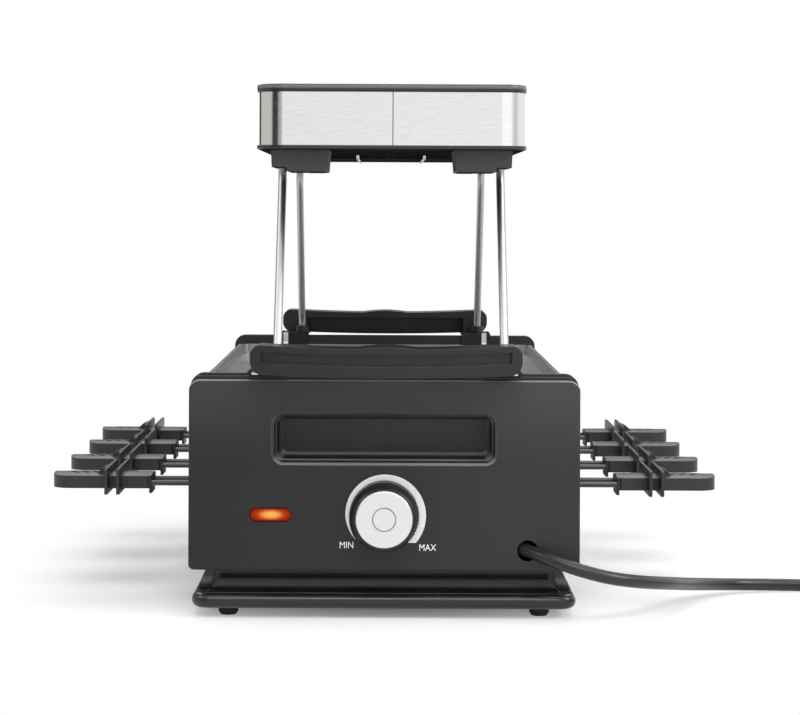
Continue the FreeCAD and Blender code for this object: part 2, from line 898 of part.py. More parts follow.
def leg_foot_bend_z():
    """Height of a rod's lower bend, where its foot stays upright for the named stretch."""
    start = strap_top + leg_foot_straight
    z = start
    for _ in range(30):
        lean = math.atan2(leg_foot_y - leg_top_y, leg_top_bend_z - z)
        z = start + leg_bend_radius * math.tan(lean / 2)
    return z


def hood_leg(side, end):
    x = side * leg_spread
    foot_z = strap_top + seat
    points = [
        Vec(x, end * leg_foot_y, foot_z),
        Vec(x, end * leg_foot_y, leg_foot_bend_z()),
        Vec(x, end * leg_top_y, leg_top_bend_z),
        Vec(x, end * leg_top_y, leg_socket_top - seat),
    ]
    path, _ = bent_path(points, leg_bend_radius)
    return hooded(sweep(path, leg_diameter / 2, points[0], UP))


def hood_bracket(side, end):
    """Socket block under the hood: a step for the rod's collar and a base that rises towards the middle."""
    front = end < 0
    inner = bracket_inner if front else rear_bracket_inner
    low = hood_low - (bracket_drop if front else rear_bracket_drop)
    step = hood_low - (bracket_step_drop if front else rear_bracket_step_drop)
    outline = [
        (inner, hood_low),
        (bracket_outer, hood_low),
        (bracket_outer - 0.5, step),
        (bracket_step, step),
        (bracket_step, low),
        (inner + 1.0, low),
    ]
    start, stop = end * bracket_end, end * (bracket_end - bracket_length)
    block = along([(side * x, z) for x, z in outline], start, stop)
    socket = Vec(side * leg_spread, end * leg_top_y, low - 5)
    block = block.cut(disc(leg_diameter / 2 + leg_fit, socket, UP, leg_socket_top - low + 5))
    block = fillet_near(block, 0.8, lambda c, e: c.z < low + 0.1 and e.Length > 40)
    return hooded(block)


def hood_band():
    outer_x = hood_half_x - hood_lap
    outer_y = hood_half_y - hood_lap
    low = hood_low + hood_rim
    high = hood_top - hood_top_rim
    band = rounded(outer_x, outer_y, hood_corner - hood_lap, low, high)
    inner_corner = hood_corner - hood_lap - band_sheet
    band = band.cut(rounded(hood_inner_x, hood_inner_y, inner_corner, low - 1, high + 1))
    seam_left = seam_shift - band_seam / 2
    seam = box(seam_left, seam_left + band_seam, -hood_half_y, -hood_half_y + 5, low - 1, high + 1)
    band = band.cut(seam)
    return hooded(band)


def hood_lower_rim():
    """Moulded rim under the band: an inner wall that carries the fan plate, a ledge over the filter."""
    rim = rounded(hood_half_x, hood_half_y, hood_corner, hood_low, hood_low + hood_rim)
    rim = fillet_near(rim, 0.8, lambda c, e: abs(c.z - hood_low) < 0.01)
    wall_x = hood_inner_x - seat
    wall_y = hood_inner_y - seat
    corner = hood_corner - hood_lap - band_sheet
    rim = rim.fuse(rounded(wall_x, wall_y, corner, hood_low + hood_rim - 0.1, fan_plate_low))
    room_x, room_y = wall_x - hood_wall, wall_y - hood_wall
    rim = rim.cut(rounded(room_x, room_y, corner - hood_wall, hood_low - 1, fan_plate_low + 1))
    floor = rounded(wall_x - 0.1, wall_y - 0.1, corner, hood_low, hood_low + hood_floor)
    floor = floor.cut(centred(hood_width, filter_half_y() + filter_gap, hood_low - 1, hood_low + 5))
    ledge_z = hood_low + filter_lift + filter_thickness + seat
    ledge = centred(wall_x - 0.1, filter_half_y() + filter_gap + hood_wall, hood_low, ledge_z + 1.5)
    ledge = ledge.cut(centred(hood_width, filter_half_y() + filter_gap, hood_low - 1, ledge_z))
    ledge = ledge.cut(centred(wall_x - 7.0, filter_half_y() - 4.0, ledge_z - 1, ledge_z + 3))
    shelf = centred(wall_x - 0.1, filter_half_y() + filter_gap, ledge_z, ledge_z + 1.5)
    shelf = shelf.cut(centred(wall_x - 7.0, filter_half_y() - 4.0, ledge_z - 1, ledge_z + 3))
    return hooded(rim.fuse(floor).fuse(ledge).fuse(shelf).removeSplitter())


def hood_cover():
    """Top moulding with an inner skirt, an outlet grille over each fan and a hole for the button."""
    low = hood_top - hood_top_rim
    cover = rounded(hood_half_x, hood_half_y, hood_corner, low, hood_top)
    cover = fillet_near(cover, 1.5, lambda c, e: abs(c.z - hood_top) < 0.01)
    corner = hood_corner - hood_lap - band_sheet
    skirt_x = hood_inner_x - seat
    skirt_y = hood_inner_y - seat
    skirt = rounded(skirt_x, skirt_y, corner, fan_plate_low + fan_plate_sheet, low + 0.1)
    skirt = skirt.cut(rounded(skirt_x - hood_wall, skirt_y - hood_wall, corner - hood_wall, 0, low + 1))
    cover = cover.fuse(skirt)
    slot_half = 1.6
    slots = 11
    for end in (-1, 1):
        for i in range(slots):
            offset = (i - (slots - 1) / 2) * 5.4
            reach = math.sqrt(max(fan_radius ** 2 - offset ** 2, 0.0))
            y = end * fan_spacing / 2 + offset
            cover = cover.cut(box(-reach, reach, y - slot_half, y + slot_half, low - 1, hood_top + 1))
    cover = cover.cut(disc(button_radius + 0.3, Vec(0, -button_y(), low - 1), UP, hood_top_rim + 2))
    return hooded(cover)


def button_y():
    return (fan_spacing / 2 + fan_radius + hood_half_y) / 2 + 2.0


def power_button():
    low = hood_top - hood_top_rim - 2.5
    centre = Vec(0, -button_y(), low)
    button = disc(button_radius, centre, UP, hood_top + button_proud - low)
    button = fillet_near(button, 0.6, lambda c, e: abs(c.z - hood_top - button_proud) < 0.01)
    flange = disc(button_radius + 1.4, centre, UP, 1.2)
    return hooded(button.fuse(flange))


def button_switch():
    top = hood_top - hood_top_rim - 2.5 - 1.8
    body = box(-6.0, 6.0, -button_y() - 6.0, -button_y() + 6.0, fan_plate_low + fan_plate_sheet, top)
    return hooded(body)


def fan_plate():
    half_x = hood_inner_x - seat - 0.4
    half_y = hood_inner_y - seat - 0.4
    corner = hood_corner - hood_lap - band_sheet
    plate = rounded(half_x, half_y, corner, fan_plate_low, fan_plate_low + fan_plate_sheet)
    for end in (-1, 1):
        centre = Vec(0, end * fan_spacing / 2, fan_plate_low - 1)
        plate = plate.cut(disc(fan_radius + fan_gap, centre, UP, fan_plate_sheet + 2))
    return hooded(plate)


def fan_motor(end):
    """Motor can hung over the opening on three arms that stand on the fan plate."""
    y = end * fan_spacing / 2
    base = fan_plate_low + fan_plate_sheet
    can_low = base + 3.0
    can_high = hood_top - hood_top_rim - 2.0
    motor = disc(motor_radius, Vec(0, y, can_low), UP, can_high - can_low)
    for i in range(3):
        arm = box(0, motor_arm_radius, -2.0, 2.0, can_high - 2.5, can_high)
        post = disc(2.4, Vec(motor_arm_radius, 0, base), UP, can_high - base)
        for piece in (arm, post):
            piece.rotate(Vec(0, 0, 0), UP, 90 + 120 * i)
            piece.translate(Vec(0, y, 0))
            motor = motor.fuse(piece)
    bore = disc(rotor_shaft + shaft_fit, Vec(0, y, can_low - 1), UP, 9.0)
    return hooded(motor.cut(bore).removeSplitter())


def fan_rotor(end):
    """Hub with twisted blades, each lofted from a steep root to a flatter tip."""
    y = end * fan_spacing / 2
    high = fan_plate_low + fan_plate_sheet + 2.4
    low = high - 8.0
    rotor = disc(fan_hub, Vec(0, 0, low), UP, high - low)
    rotor = fillet_near(rotor, 1.2, lambda c, e: abs(c.z - low) < 0.01)
    rotor = rotor.cut(disc(fan_hub - 1.4, Vec(0, 0, low + 2.0), UP, 20))
    boss = disc(3.0, Vec(0, 0, low + 1.5), UP, high - low - 1.5)
    rotor = rotor.fuse(boss).fuse(disc(rotor_shaft, Vec(0, 0, high - 0.5), UP, 8.0))
    middle = (low + high) / 2
    for i in range(fan_blades):
        sections = []
        for r, pitch, chord in ((fan_hub - 0.8, 42.0, 9.0), (fan_radius - 0.5, 24.0, 15.0)):
            tilt = math.radians(pitch)
            dy, dz = math.cos(tilt) * chord / 2, math.sin(tilt) * chord / 2
            dz = min(dz, (high - low) / 2 - 0.8)
            ty, tz = -math.sin(tilt) * 0.5, math.cos(tilt) * 0.5
            points = [
                Vec(r, -dy - ty, middle - dz - tz),
                Vec(r, dy - ty, middle + dz - tz),
                Vec(r, dy + ty, middle + dz + tz),
                Vec(r, -dy + ty, middle - dz + tz),
            ]
            sections.append(Part.makePolygon(points + [points[0]]))
        blade = ruled(sections)
        blade.rotate(Vec(0, 0, 0), UP, 360.0 * i / fan_blades)
        rotor = rotor.fuse(blade)
    rotor.translate(Vec(0, y, 0))
    return hooded(rotor)


def battery_cell(place):
    base = fan_plate_low + fan_plate_sheet + seat
    x = (place - 1.5) * (2 * cell_radius + 0.3)
    return hooded(disc(cell_radius, Vec(x, -cell_length / 2, base + cell_radius), ALONG_Y, cell_length))


def battery_tray():
    base = fan_plate_low + fan_plate_sheet
    half_x = 2 * (2 * cell_radius + 0.3) + 1.5
    half_y = cell_length / 2 + 1.8
    tray = centred(half_x, half_y, base, base + 9.0)
    tray = tray.cut(centred(half_x - 1.2, half_y - 1.2, base - 1, base + 10.0))
    return hooded(tray)


def filter_half_y():
    return bracket_end - bracket_length - 3.0


def filter_cassette():
    """Grease filter that drops out between the brackets: a frame with cross slots and two wire runners."""
    low = hood_low + filter_lift
    half_x = hood_inner_x - seat - hood_wall - filter_gap
    half_y = filter_half_y()
    cassette = rounded(half_x, half_y, 3.0, low, low + filter_thickness)
    rows = 18
    step = 2 * (half_y - 10.0) / rows
    for i in range(rows):
        y = -half_y + 10.0 + step * (i + 0.5)
        for x0, x1 in ((-half_x + 8.0, -4.0), (4.0, half_x - 8.0)):
            cassette = cassette.cut(box(x0, x1, y - step * 0.28, y + step * 0.28, low - 1, low + 8.0))
    return cassette


def filter_runner(side):
    """Wire along the filter's underside, turned up into the frame at both ends."""
    high = hood_low + filter_lift + 1.0
    low = hood_low - runner_drop
    x = side * runner_spread
    rear = filter_half_y() - 3.0
    points = [Vec(x, runner_start, high), Vec(x, runner_start, low), Vec(x, rear, low), Vec(x, rear, high)]
    path, _ = bent_path(points, 1.6)
    return sweep(path, runner_radius, points[0], Vec(0, 0, -1))


# Pans

def pan_tray():
    """Drafted square tray with a turned lip, drawn with its handle pointing along +X."""
    mid_x = pan_inner_edge + pan_size_x / 2
    low = deck_height + slide_gap
    high = low + pan_depth
    top_x, top_y = pan_size_x / 2 - pan_lip, pan_size_y / 2 - pan_lip
    low_x, low_y = top_x - pan_draft, top_y - pan_draft
    centre = (mid_x, 0.0)
    outer = ruled([
        rounded_wire(low_x, low_y, pan_corner - pan_draft, low, centre),
        rounded_wire(top_x, top_y, pan_corner, high, centre),
    ])
    t = pan_sheet
    inner = ruled([
        rounded_wire(low_x - t, low_y - t, pan_corner - pan_draft - t, low + t, centre),
        rounded_wire(top_x - t, top_y - t, pan_corner - t, high + 0.01, centre),
    ])
    lip = rounded(top_x + pan_lip, top_y + pan_lip, pan_corner + pan_lip, high - t, high)
    lip.translate(Vec(mid_x, 0, 0))
    return outer.fuse(lip).cut(inner).removeSplitter()


def pan_wires():
    """One steel wire bent to a U: its base lies on the tray's wall and both ends run into the handle."""
    low = deck_height + slide_gap
    share = (pan_wire_z - low) / pan_depth
    wall = pan_inner_edge + pan_size_x - pan_lip - pan_draft * (1 - share)
    near = wall + pan_wire / 2 + 0.5
    far = grip_inner + 14.0
    s = pan_wire_spread - pan_wire / 2
    points = [Vec(x, y, pan_wire_z) for x, y in ((far, -s), (near, -s), (near, s), (far, s))]
    path, _ = bent_path(points, 5.0)
    return sweep(path, pan_wire / 2, points[0], Vec(-1, 0, 0))


def pan_handle():
    """Hollow moulded grip with a crowned top, two cross fins to stand it on and a foot at its inner end."""
    mid = (grip_inner + grip_outer) / 2
    half_x = (grip_outer - grip_inner) / 2
    body = rounded(half_x, grip_half, 3.0, grip_low, grip_high)
    body.translate(Vec(mid, 0, 0))
    tip = rounded(half_x, grip_half, grip_tip_radius, grip_low - 1, grip_high + 3)
    tip.translate(Vec(mid, 0, 0))
    block = box(grip_inner, mid, -grip_half, grip_half, grip_low - 1, grip_high + 3)
    body = body.common(tip.fuse(block))
    crown = disc(grip_crown, Vec(grip_inner - 10, 0, grip_high + 0.9 - grip_crown), ALONG_X, 2 * half_x + 20)
    cap = rounded(half_x, grip_half, 3.0, grip_high - 0.2, grip_high + 1.5)
    cap.translate(Vec(mid, 0, 0))
    body = body.fuse(cap.common(crown).common(tip.fuse(block)))
    hollow = box(grip_inner + 2.0, grip_outer - 12.0, -grip_half + grip_shell, grip_half - grip_shell,
                 grip_low - 1, grip_high - grip_shell)
    body = body.cut(hollow)
    boss_end = grip_inner + 15.0
    boss_half = grip_half - 0.5
    body = body.fuse(box(grip_inner, boss_end, -boss_half, boss_half, grip_low + 0.4, grip_high - 0.5))
    for x in fin_places:
        fin = box(x, x + fin_sheet, -fin_half, fin_half, fin_low, fin_high)
        fin = fillet_near(fin, 1.2, lambda c, e: abs(c.y) > fin_half - 0.01 and e.Length < fin_sheet + 0.01)
        body = body.fuse(fin)
    foot_half = fin_web + 4.0
    foot_low = deck_height + 0.6
    body = body.fuse(box(grip_inner, grip_inner + 1.6, -foot_half, foot_half, foot_low, grip_low + 2.0))
    reach = grip_outer - 26.0
    top = grip_high + 0.4
    start = fin_places[1] + fin_sheet
    corner, tip, middle, outer = (
        Vec(x, -fin_web, z)
        for x, z in (
            (start - 0.5, top - 2),
            (start - 0.5, fin_high - 0.6),
            (start + 4.0, fin_high - 2.0),
            (reach, top - 0.6),
        )
    )
    gusset = Part.Wire([
        Part.LineSegment(corner, tip).toShape(),
        Part.Arc(tip, middle, outer).toShape(),
        Part.LineSegment(outer, corner).toShape(),
    ])
    body = body.fuse(Part.Face(gusset).extrude(Vec(0, 2 * fin_web, 0)))
    for i in range(3):
        x = grip_outer - 12.0 - 6.5 * i
        dimple = box(-1.2, 1.2, -5.0, 5.0, grip_high - 0.1, grip_high + 3)
        dimple.rotate(Vec(0, 0, 0), UP, -32.0)
        dimple.translate(Vec(x, 0, 0))
        body = body.cut(dimple)
    s = pan_wire_spread - pan_wire / 2
    for y in (-s, s):
        body = body.cut(disc(pan_wire / 2 + 0.1, Vec(grip_inner - 1, y, pan_wire_z), ALONG_X, 15.2))
    return body.removeSplitter()


def placed_pan(shape, side, number):
    moved = shape.copy()
    moved.translate(Vec(pan_rest_out[number], 0, 0))
    if side < 0:
        moved = mirror_x(moved)
    moved.translate(Vec(0, pan_places()[number], 0))
    return moved


# Mains lead

cord_route = [
    exit_point,
    outlet + exit_way * 12.0,
    Vec(107.9, -237.3, 31.7),
    Vec(127.9, -236.8, 26.3),
    Vec(147.5, -226.2, 22.5),
    Vec(170.0, -196.5, 16.3),
    Vec(184.0, -157.0, 10.5),
    Vec(208.0, -128.0, 6.1),
    Vec(236.0, -116.0, 4.3),
    Vec(266.0, -113.0, cord_radius),
    Vec(coil_centre.x - cord_diameter, -113.0, cord_radius),
]


def coil_point(turn):
    """Place along the coil after so many turns: in, up a layer in a half turn, and out again."""
    inward = coil_layer_turns
    half = inward + 0.5
    middle = inward + 0.25
    if turn <= inward:
        height = 0.0
    elif turn <= half:
        share = (turn - inward) / 0.5
        height = coil_layer_rise * (1 - math.cos(math.pi * share)) / 2
    else:
        height = coil_layer_rise
    radius = coil_radius - coil_pitch * min(turn, 2 * middle - turn)
    angle = 2 * math.pi * turn
    x = coil_centre.x + radius * math.sin(angle)
    y = coil_centre.y + radius * math.cos(angle)
    return Vec(x, y, cord_radius + height)


def coil_tangent(turn):
    small = 1e-4
    if turn < small:
        return Vec(1, 0, 0)
    last = 2 * coil_layer_turns + 0.5
    if turn > last - small:
        angle = 2 * math.pi * turn
        return Vec(math.cos(angle), -math.sin(angle), 0)
    way = coil_point(turn + small) - coil_point(turn - small)
    return way.normalize()


def biarc(p0, t0, p1, t1):
    """Two arcs that leave p0 along t0 and reach p1 along t1."""
    chord = p1 - p0
    both = t0 + t1
    a = 2 * (1 - t0.dot(t1))
    b = 2 * chord.dot(both)
    c = -chord.dot(chord)
    reach = -c / b if abs(a) < 1e-9 else (-b + math.sqrt(b * b - 4 * a * c)) / (2 * a)
    joint = (p0 + t0 * reach + p1 - t1 * reach) * 0.5
    edges = []
    for start, way, end in ((p0, t0, joint), (p1, t1 * -1, joint)):
        line = end - start
        side = line - way * line.dot(way)
        bend = line.dot(line) / (2 * side.Length)
        centre = start + side.normalize() * bend
        middle = (start + end) * 0.5 - centre
        through = centre + middle.normalize() * bend
        edges.append((start, through, end))
    first = Part.Arc(*edges[0]).toShape()
    second = Part.Arc(edges[1][2], edges[1][1], edges[1][0]).toShape()
    return [first, second]


def coil_path():
    last = 2 * coil_layer_turns + 0.5
    quarter = 0.25
    stops = [0.0]
    while stops[-1] < coil_layer_turns - 1e-6:
        stops.append(min(stops[-1] + quarter, coil_layer_turns))
    middle = coil_layer_turns + 0.5
    stops += [coil_layer_turns + quarter, middle]
    while stops[-1] < last - 1e-6:
        stops.append(min(stops[-1] + quarter, last))
    edges = []
    start = coil_point(0.0)
    edges.append(Part.LineSegment(start - Vec(cord_diameter, 0, 0), start).toShape())
    for a, b in zip(stops, stops[1:]):
        edges += biarc(coil_point(a), coil_tangent(a), coil_point(b), coil_tangent(b))
    end = coil_point(last)
    way = coil_tangent(last)
    edges.append(Part.LineSegment(end, end + way * cord_diameter).toShape())
    return Part.Wire(edges), end + way * cord_diameter, way


def least_self_gap(wire, own):
    """Least distance between stretches of a path that lie well apart along it, less the tube's width."""
    points = wire.discretize(Distance=3.0)
    skip = int(4 * own / 3.0)
    gaps = [(p - q).Length for i, p in enumerate(points) for q in points[i + skip:]]
    return min(gaps) - own


def plug_pieces(start, way):
    """Moulded angled plug lying on its back: tapered neck, round body, one groove, two round pins up."""
    neck = Part.makeCone(cord_radius + 0.6, 6.4, plug_neck, start, way)
    centre = start + way * (plug_neck + plug_radius - 3.0)
    centre.z = 0.0
    body = disc(plug_radius, centre, UP, plug_height)
    body = body.makeFillet(2.5, [e for e in body.Edges if abs(e.CenterOfMass.z) < 0.01])
    well = disc(plug_radius - 6.0, centre + UP * (plug_height - 2.5), UP, 5.0)
    body = body.fuse(neck).cut(well)
    across_way = way.cross(UP)
    notch = Part.makeBox(6.0, 4.0, 9.0, Vec(-3.0, -2.0, 0))
    notch.rotate(Vec(0, 0, 0), UP, math.degrees(math.atan2(way.y, way.x)))
    notch.translate(centre + way * plug_radius * 0.95 + UP * (plug_height - 8.0))
    body = body.cut(notch)
    pins = []
    for side in (-1, 1):
        foot_at = centre + across_way * (side * pin_spacing / 2) + UP * (plug_height - 2.5)
        pin = disc(pin_radius, foot_at, UP, pin_length + 2.5)
        pin = fillet_near(pin, 1.2, lambda c, e: c.z > foot_at.z + pin_length + 2.49)
        pins.append(pin)
    return body.removeSplitter(), pins


def main():
    os.makedirs("parts", exist_ok=True)

    rear = mirror_y(end_panel())
    frame = end_frame()
    write("front_panel", front_panel())
    write("rear_panel", rear)
    write("front_end_frame", frame)
    write("rear_end_frame", mirror_y(frame))
    rail = side_rail()
    write("side_rails", rail, mirror_x(rail))
    write("pan_deck", pan_deck())
    wall = lower_wall()
    write("lower_walls", wall, mirror_x(wall))
    write("bottom_plate", bottom_plate())
    write("end_shields", end_shield(True), mirror_y(end_shield(False)))
    write("heating_element", heating_element())
    write("element_brackets", *[element_strip(y) for y in (-120.0, 0.0, 120.0)])

    hollow = cove()
    posts = [base_post(side, y) for side in (-1, 1) for y in (-post_end, 0.0, post_end)]
    write("base_ring", base_ring())
    write("base_shells", hollow, mirror_y(hollow), *posts)
    write("rubber_feet", *[foot(sx * foot_x, sy * foot_y) for sx in (-1, 1) for sy in (-1, 1)])

    write("thermostat_body", thermostat())
    write("thermostat_shaft", thermostat_shaft())
    write("knob_skirt", knob())
    write("knob_cap", knob_cap())
    write("lamp_lens", lamp_lens())
    write("lamp_holder", lamp_holder())
    write("terminal_block", terminal_block())
    write("cable_gland", cable_gland())

    handle = plate_handle()
    straps = [strap(-1), strap(1)]
    write("grill_plate", grill_plate())
    front_handle = handle.copy()
    front_handle.translate(Vec(front_handle_shift, 0, 0))
    write("front_plate_handle", front_handle)
    write("rear_plate_handle", mirror_y(handle))
    write("handle_straps", *straps, *[mirror_y(s) for s in straps])
    corners = [(sx, sy) for sx in (-1, 1) for sy in (-1, 1)]
    write("leg_cups", *[leg_cup(sx, sy) for sx, sy in corners])

    write("hood_legs", *[hood_leg(sx, sy) for sx, sy in corners])
    write("hood_brackets", *[hood_bracket(sx, sy) for sx, sy in corners])
    write("hood_band", hood_band())
    write("hood_lower_rim", hood_lower_rim())
    write("hood_cover", hood_cover())
    write("fan_plate", fan_plate())
    write("fan_motors", fan_motor(-1), fan_motor(1))
    write("front_fan_rotor", fan_rotor(-1))
    write("rear_fan_rotor", fan_rotor(1))
    write("battery_pack", battery_tray(), *[battery_cell(i) for i in range(4)])
    write("power_button", power_button())
    write("button_switch", button_switch())
    cassette = filter_cassette()
    for side in (-1, 1):
        cassette = cassette.fuse(filter_runner(side))
    write("filter_cassette", hooded(cassette))

    tray, wires, grip = pan_tray(), pan_wires(), pan_handle()
    number = 1
    for side in (-1, 1):
        for place in range(pans_per_side):
            write(f"pan_tray_{number}", placed_pan(tray, side, place), placed_pan(wires, side, place))
            write(f"pan_handle_{number}", placed_pan(grip, side, place))
            number += 1

    path, radii = bent_path(cord_route)
    lead = sweep(path, cord_radius, exit_point, exit_way)
    print("lead radii", [round(r, 1) for r in radii], "length", round(path.Length, 1))
    section = math.pi * cord_radius ** 2
    print("lead volume", round(lead.Volume), "section x length", round(section * path.Length))
    write("mains_cord", lead)
    coil_wire, end, way = coil_path()
    coil_start = coil_point(0.0) - Vec(cord_diameter, 0, 0)
    coil = sweep(coil_wire, cord_radius, coil_start, Vec(1, 0, 0))
    print("coil length", round(coil_wire.Length, 1))
    print("coil least self-gap", round(least_self_gap(coil_wire, cord_diameter), 2))
    print("coil volume", round(coil.Volume), "section x length", round(section * coil_wire.Length))
    write("cord_coil", coil)
    plug, pins = plug_pieces(end, way)
    write("plug_body", plug)
    write("plug_pins", *pins)


main()
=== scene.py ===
import bpy
import math
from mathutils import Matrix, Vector


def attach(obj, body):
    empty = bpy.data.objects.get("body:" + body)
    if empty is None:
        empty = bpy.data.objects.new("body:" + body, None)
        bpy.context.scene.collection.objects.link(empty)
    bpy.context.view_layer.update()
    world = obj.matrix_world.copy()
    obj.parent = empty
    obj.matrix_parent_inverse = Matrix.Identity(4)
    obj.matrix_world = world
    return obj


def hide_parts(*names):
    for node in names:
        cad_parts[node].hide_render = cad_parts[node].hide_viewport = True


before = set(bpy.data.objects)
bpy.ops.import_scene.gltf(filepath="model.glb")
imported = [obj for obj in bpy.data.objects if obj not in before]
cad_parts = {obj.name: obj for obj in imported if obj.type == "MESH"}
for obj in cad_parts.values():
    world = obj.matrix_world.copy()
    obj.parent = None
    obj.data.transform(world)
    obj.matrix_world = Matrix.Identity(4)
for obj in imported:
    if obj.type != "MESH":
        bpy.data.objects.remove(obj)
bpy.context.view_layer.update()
scene = bpy.context.scene


# Camera, level and in front of the controls

cameraFacts = {
    "place": (0.0, -1.639, 0.238),
    "focal": 110.97,
    "sensor": 36.0,
    "roll": -0.0044,
    "shift": (0.0181, -0.1906),
    "nearest": 0.01,
}


def makeCamera():
    facts = cameraFacts
    data = bpy.data.cameras.new("camera")
    data.lens = facts["focal"]
    data.sensor_width = facts["sensor"]
    data.shift_x, data.shift_y = facts["shift"]
    data.clip_start = facts["nearest"]
    camera = bpy.data.objects.new("camera", data)
    camera.location = facts["place"]
    camera.rotation_euler = (math.pi / 2, facts["roll"], 0.0)
    scene.collection.objects.link(camera)
    scene.camera = camera
    scene.view_settings.view_transform = "Standard"


makeCamera()
print("camera set")


# Short ways to add shader nodes

def addNode(tree, kind, values=(), **facts):
    node = tree.nodes.new("ShaderNode" + kind)
    for key, value in facts.items():
        setattr(node, key, value)
    for socket, value in dict(values).items():
        if isinstance(value, bpy.types.NodeSocket):
            tree.links.new(value, node.inputs[socket])
        else:
            node.inputs[socket].default_value = value
    return node


def objectPlace(tree):
    return addNode(tree, "TexCoord").outputs["Object"]


def objectAxes(tree):
    return addNode(tree, "SeparateXYZ", {0: objectPlace(tree)}).outputs


def normalAxes(tree):
    return addNode(tree, "SeparateXYZ", {0: addNode(tree, "NewGeometry").outputs["Normal"]}).outputs


def noise(tree, place, scale, detail, **values):
    return addNode(tree, "TexNoise", {"Vector": place, "Scale": scale, "Detail": detail, **values}).outputs[0]


def math2(tree, operation, a, b=0.0):
    return addNode(tree, "Math", {0: a, 1: b}, operation=operation).outputs[0]


def product(tree, a, b):
    return math2(tree, "MULTIPLY", a, b)


def scaled(tree, vector, scale):
    return addNode(tree, "VectorMath", {0: vector, 1: scale}, operation="MULTIPLY").outputs[0]


def lengthOf(tree, vector):
    return addNode(tree, "VectorMath", {0: vector}, operation="LENGTH").outputs["Value"]


# Smooth step from 0 at the first limit to 1 at the second
def ramp(tree, value, limits):
    values = {0: value, 1: limits[0], 2: limits[1]}
    return addNode(tree, "MapRange", values, interpolation_type="SMOOTHSTEP").outputs[0]


def mixValue(tree, factor, a, b):
    return addNode(tree, "MapRange", {0: factor, 3: a, 4: b}).outputs[0]


def mixColour(tree, factor, a, b):
    node = addNode(tree, "Mix", data_type="RGBA")
    for socket, value in ((0, factor), (6, a), (7, b)):
        if isinstance(value, bpy.types.NodeSocket):
            tree.links.new(value, node.inputs[socket])
        else:
            node.inputs[socket].default_value = value if socket == 0 else (*value, 1.0)
    return node.outputs[2]


def shaded(colour, share):
    return tuple(share * channel for channel in colour)


# Effects that several finishes share, each as a node group

def newGroup(name, inputs, outputs):
    group = bpy.data.node_groups.new(name, "ShaderNodeTree")
    for label, value in inputs.items():
        kind = "NodeSocketVector" if isinstance(value, tuple) else "NodeSocketFloat"
        socket = group.interface.new_socket(label, in_out="INPUT", socket_type=kind)
        socket.default_value = value
    for label, kind in outputs.items():
        group.interface.new_socket(label, in_out="OUTPUT", socket_type="NodeSocket" + kind)
    return group, group.nodes.new("NodeGroupInput").outputs, group.nodes.new("NodeGroupOutput").inputs


grainFacts = {
    "inputs": {"Size": 0.0006, "Depth": 0.2, "Round": 0.0008},
    "height": 0.0002,
    "broad": 38.0,
    "samples": 4,
}


def grainGroup():
    facts = grainFacts
    group, given, result = newGroup("mouldedGrain", facts["inputs"], {"Normal": "Vector", "Value": "Float"})
    place = objectPlace(group)
    scale = math2(group, "DIVIDE", 1.0, given["Size"])
    cells = addNode(group, "TexVoronoi", {"Vector": place, "Scale": scale}, feature="SMOOTH_F1").outputs[0]
    soft = addNode(group, "Bevel", {"Radius": given["Round"]}, samples=facts["samples"]).outputs[0]
    bump = {"Strength": given["Depth"], "Distance": facts["height"], "Height": cells, "Normal": soft}
    group.links.new(addNode(group, "Bump", bump).outputs[0], result["Normal"])
    group.links.new(noise(group, place, facts["broad"], 3.0), result["Value"])
    return group


wearFacts = {
    "inputs": {"Width": 0.0008, "Amount": 0.5, "EvenSheen": 0.0},
    "facing": (0.985, 0.86),
    "scale": 90.0,
    "patches": (0.36, 0.62),
    "samples": 4,
}


# Edges, found where the rounded normal leaves the true one, worn in patches, and lightened evenly all along as a
# painted highlight
def wearAndSheenGroup():
    facts = wearFacts
    group, given, result = newGroup("edgeWearAndSheen", facts["inputs"], {"Mask": "Float"})
    soft = addNode(group, "Bevel", {"Radius": given["Width"]}, samples=facts["samples"]).outputs[0]
    true = addNode(group, "NewGeometry").outputs["Normal"]
    facing = addNode(group, "VectorMath", {0: soft, 1: true}, operation="DOT_PRODUCT").outputs["Value"]
    patches = ramp(group, noise(group, objectPlace(group), facts["scale"], 4.0), facts["patches"])
    mask = product(group, ramp(group, facing, facts["facing"]), math2(group, "MAXIMUM", patches, given["EvenSheen"]))
    group.links.new(product(group, mask, given["Amount"]), result["Mask"])
    return group


dustFacts = {
    "inputs": {"Amount": 0.3},
    "upward": (0.55, 0.95),
    "patchScale": 26.0,
    "patchRough": 0.65,
    "patches": (0.3, 0.8),
    "speckScale": 900.0,
    "specks": (0.35, 0.75),
}


def dustGroup():
    facts = dustFacts
    group, given, result = newGroup("settledDust", facts["inputs"], {"Mask": "Float"})
    place = objectPlace(group)
    patches = noise(group, place, facts["patchScale"], 5.0, Roughness=facts["patchRough"])
    specks = noise(group, place, facts["speckScale"], 1.0)
    mask = product(group, ramp(group, patches, facts["patches"]), ramp(group, specks, facts["specks"]))
    mask = product(group, mask, ramp(group, normalAxes(group)["Z"], facts["upward"]))
    group.links.new(product(group, mask, given["Amount"]), result["Mask"])
    return group


brushFacts = {
    "inputs": {"Stretch": (20.0, 20.0, 2600.0), "Depth": 0.15},
    "height": 0.0001,
    "rough": 0.7,
    "bands": 0.12,
}


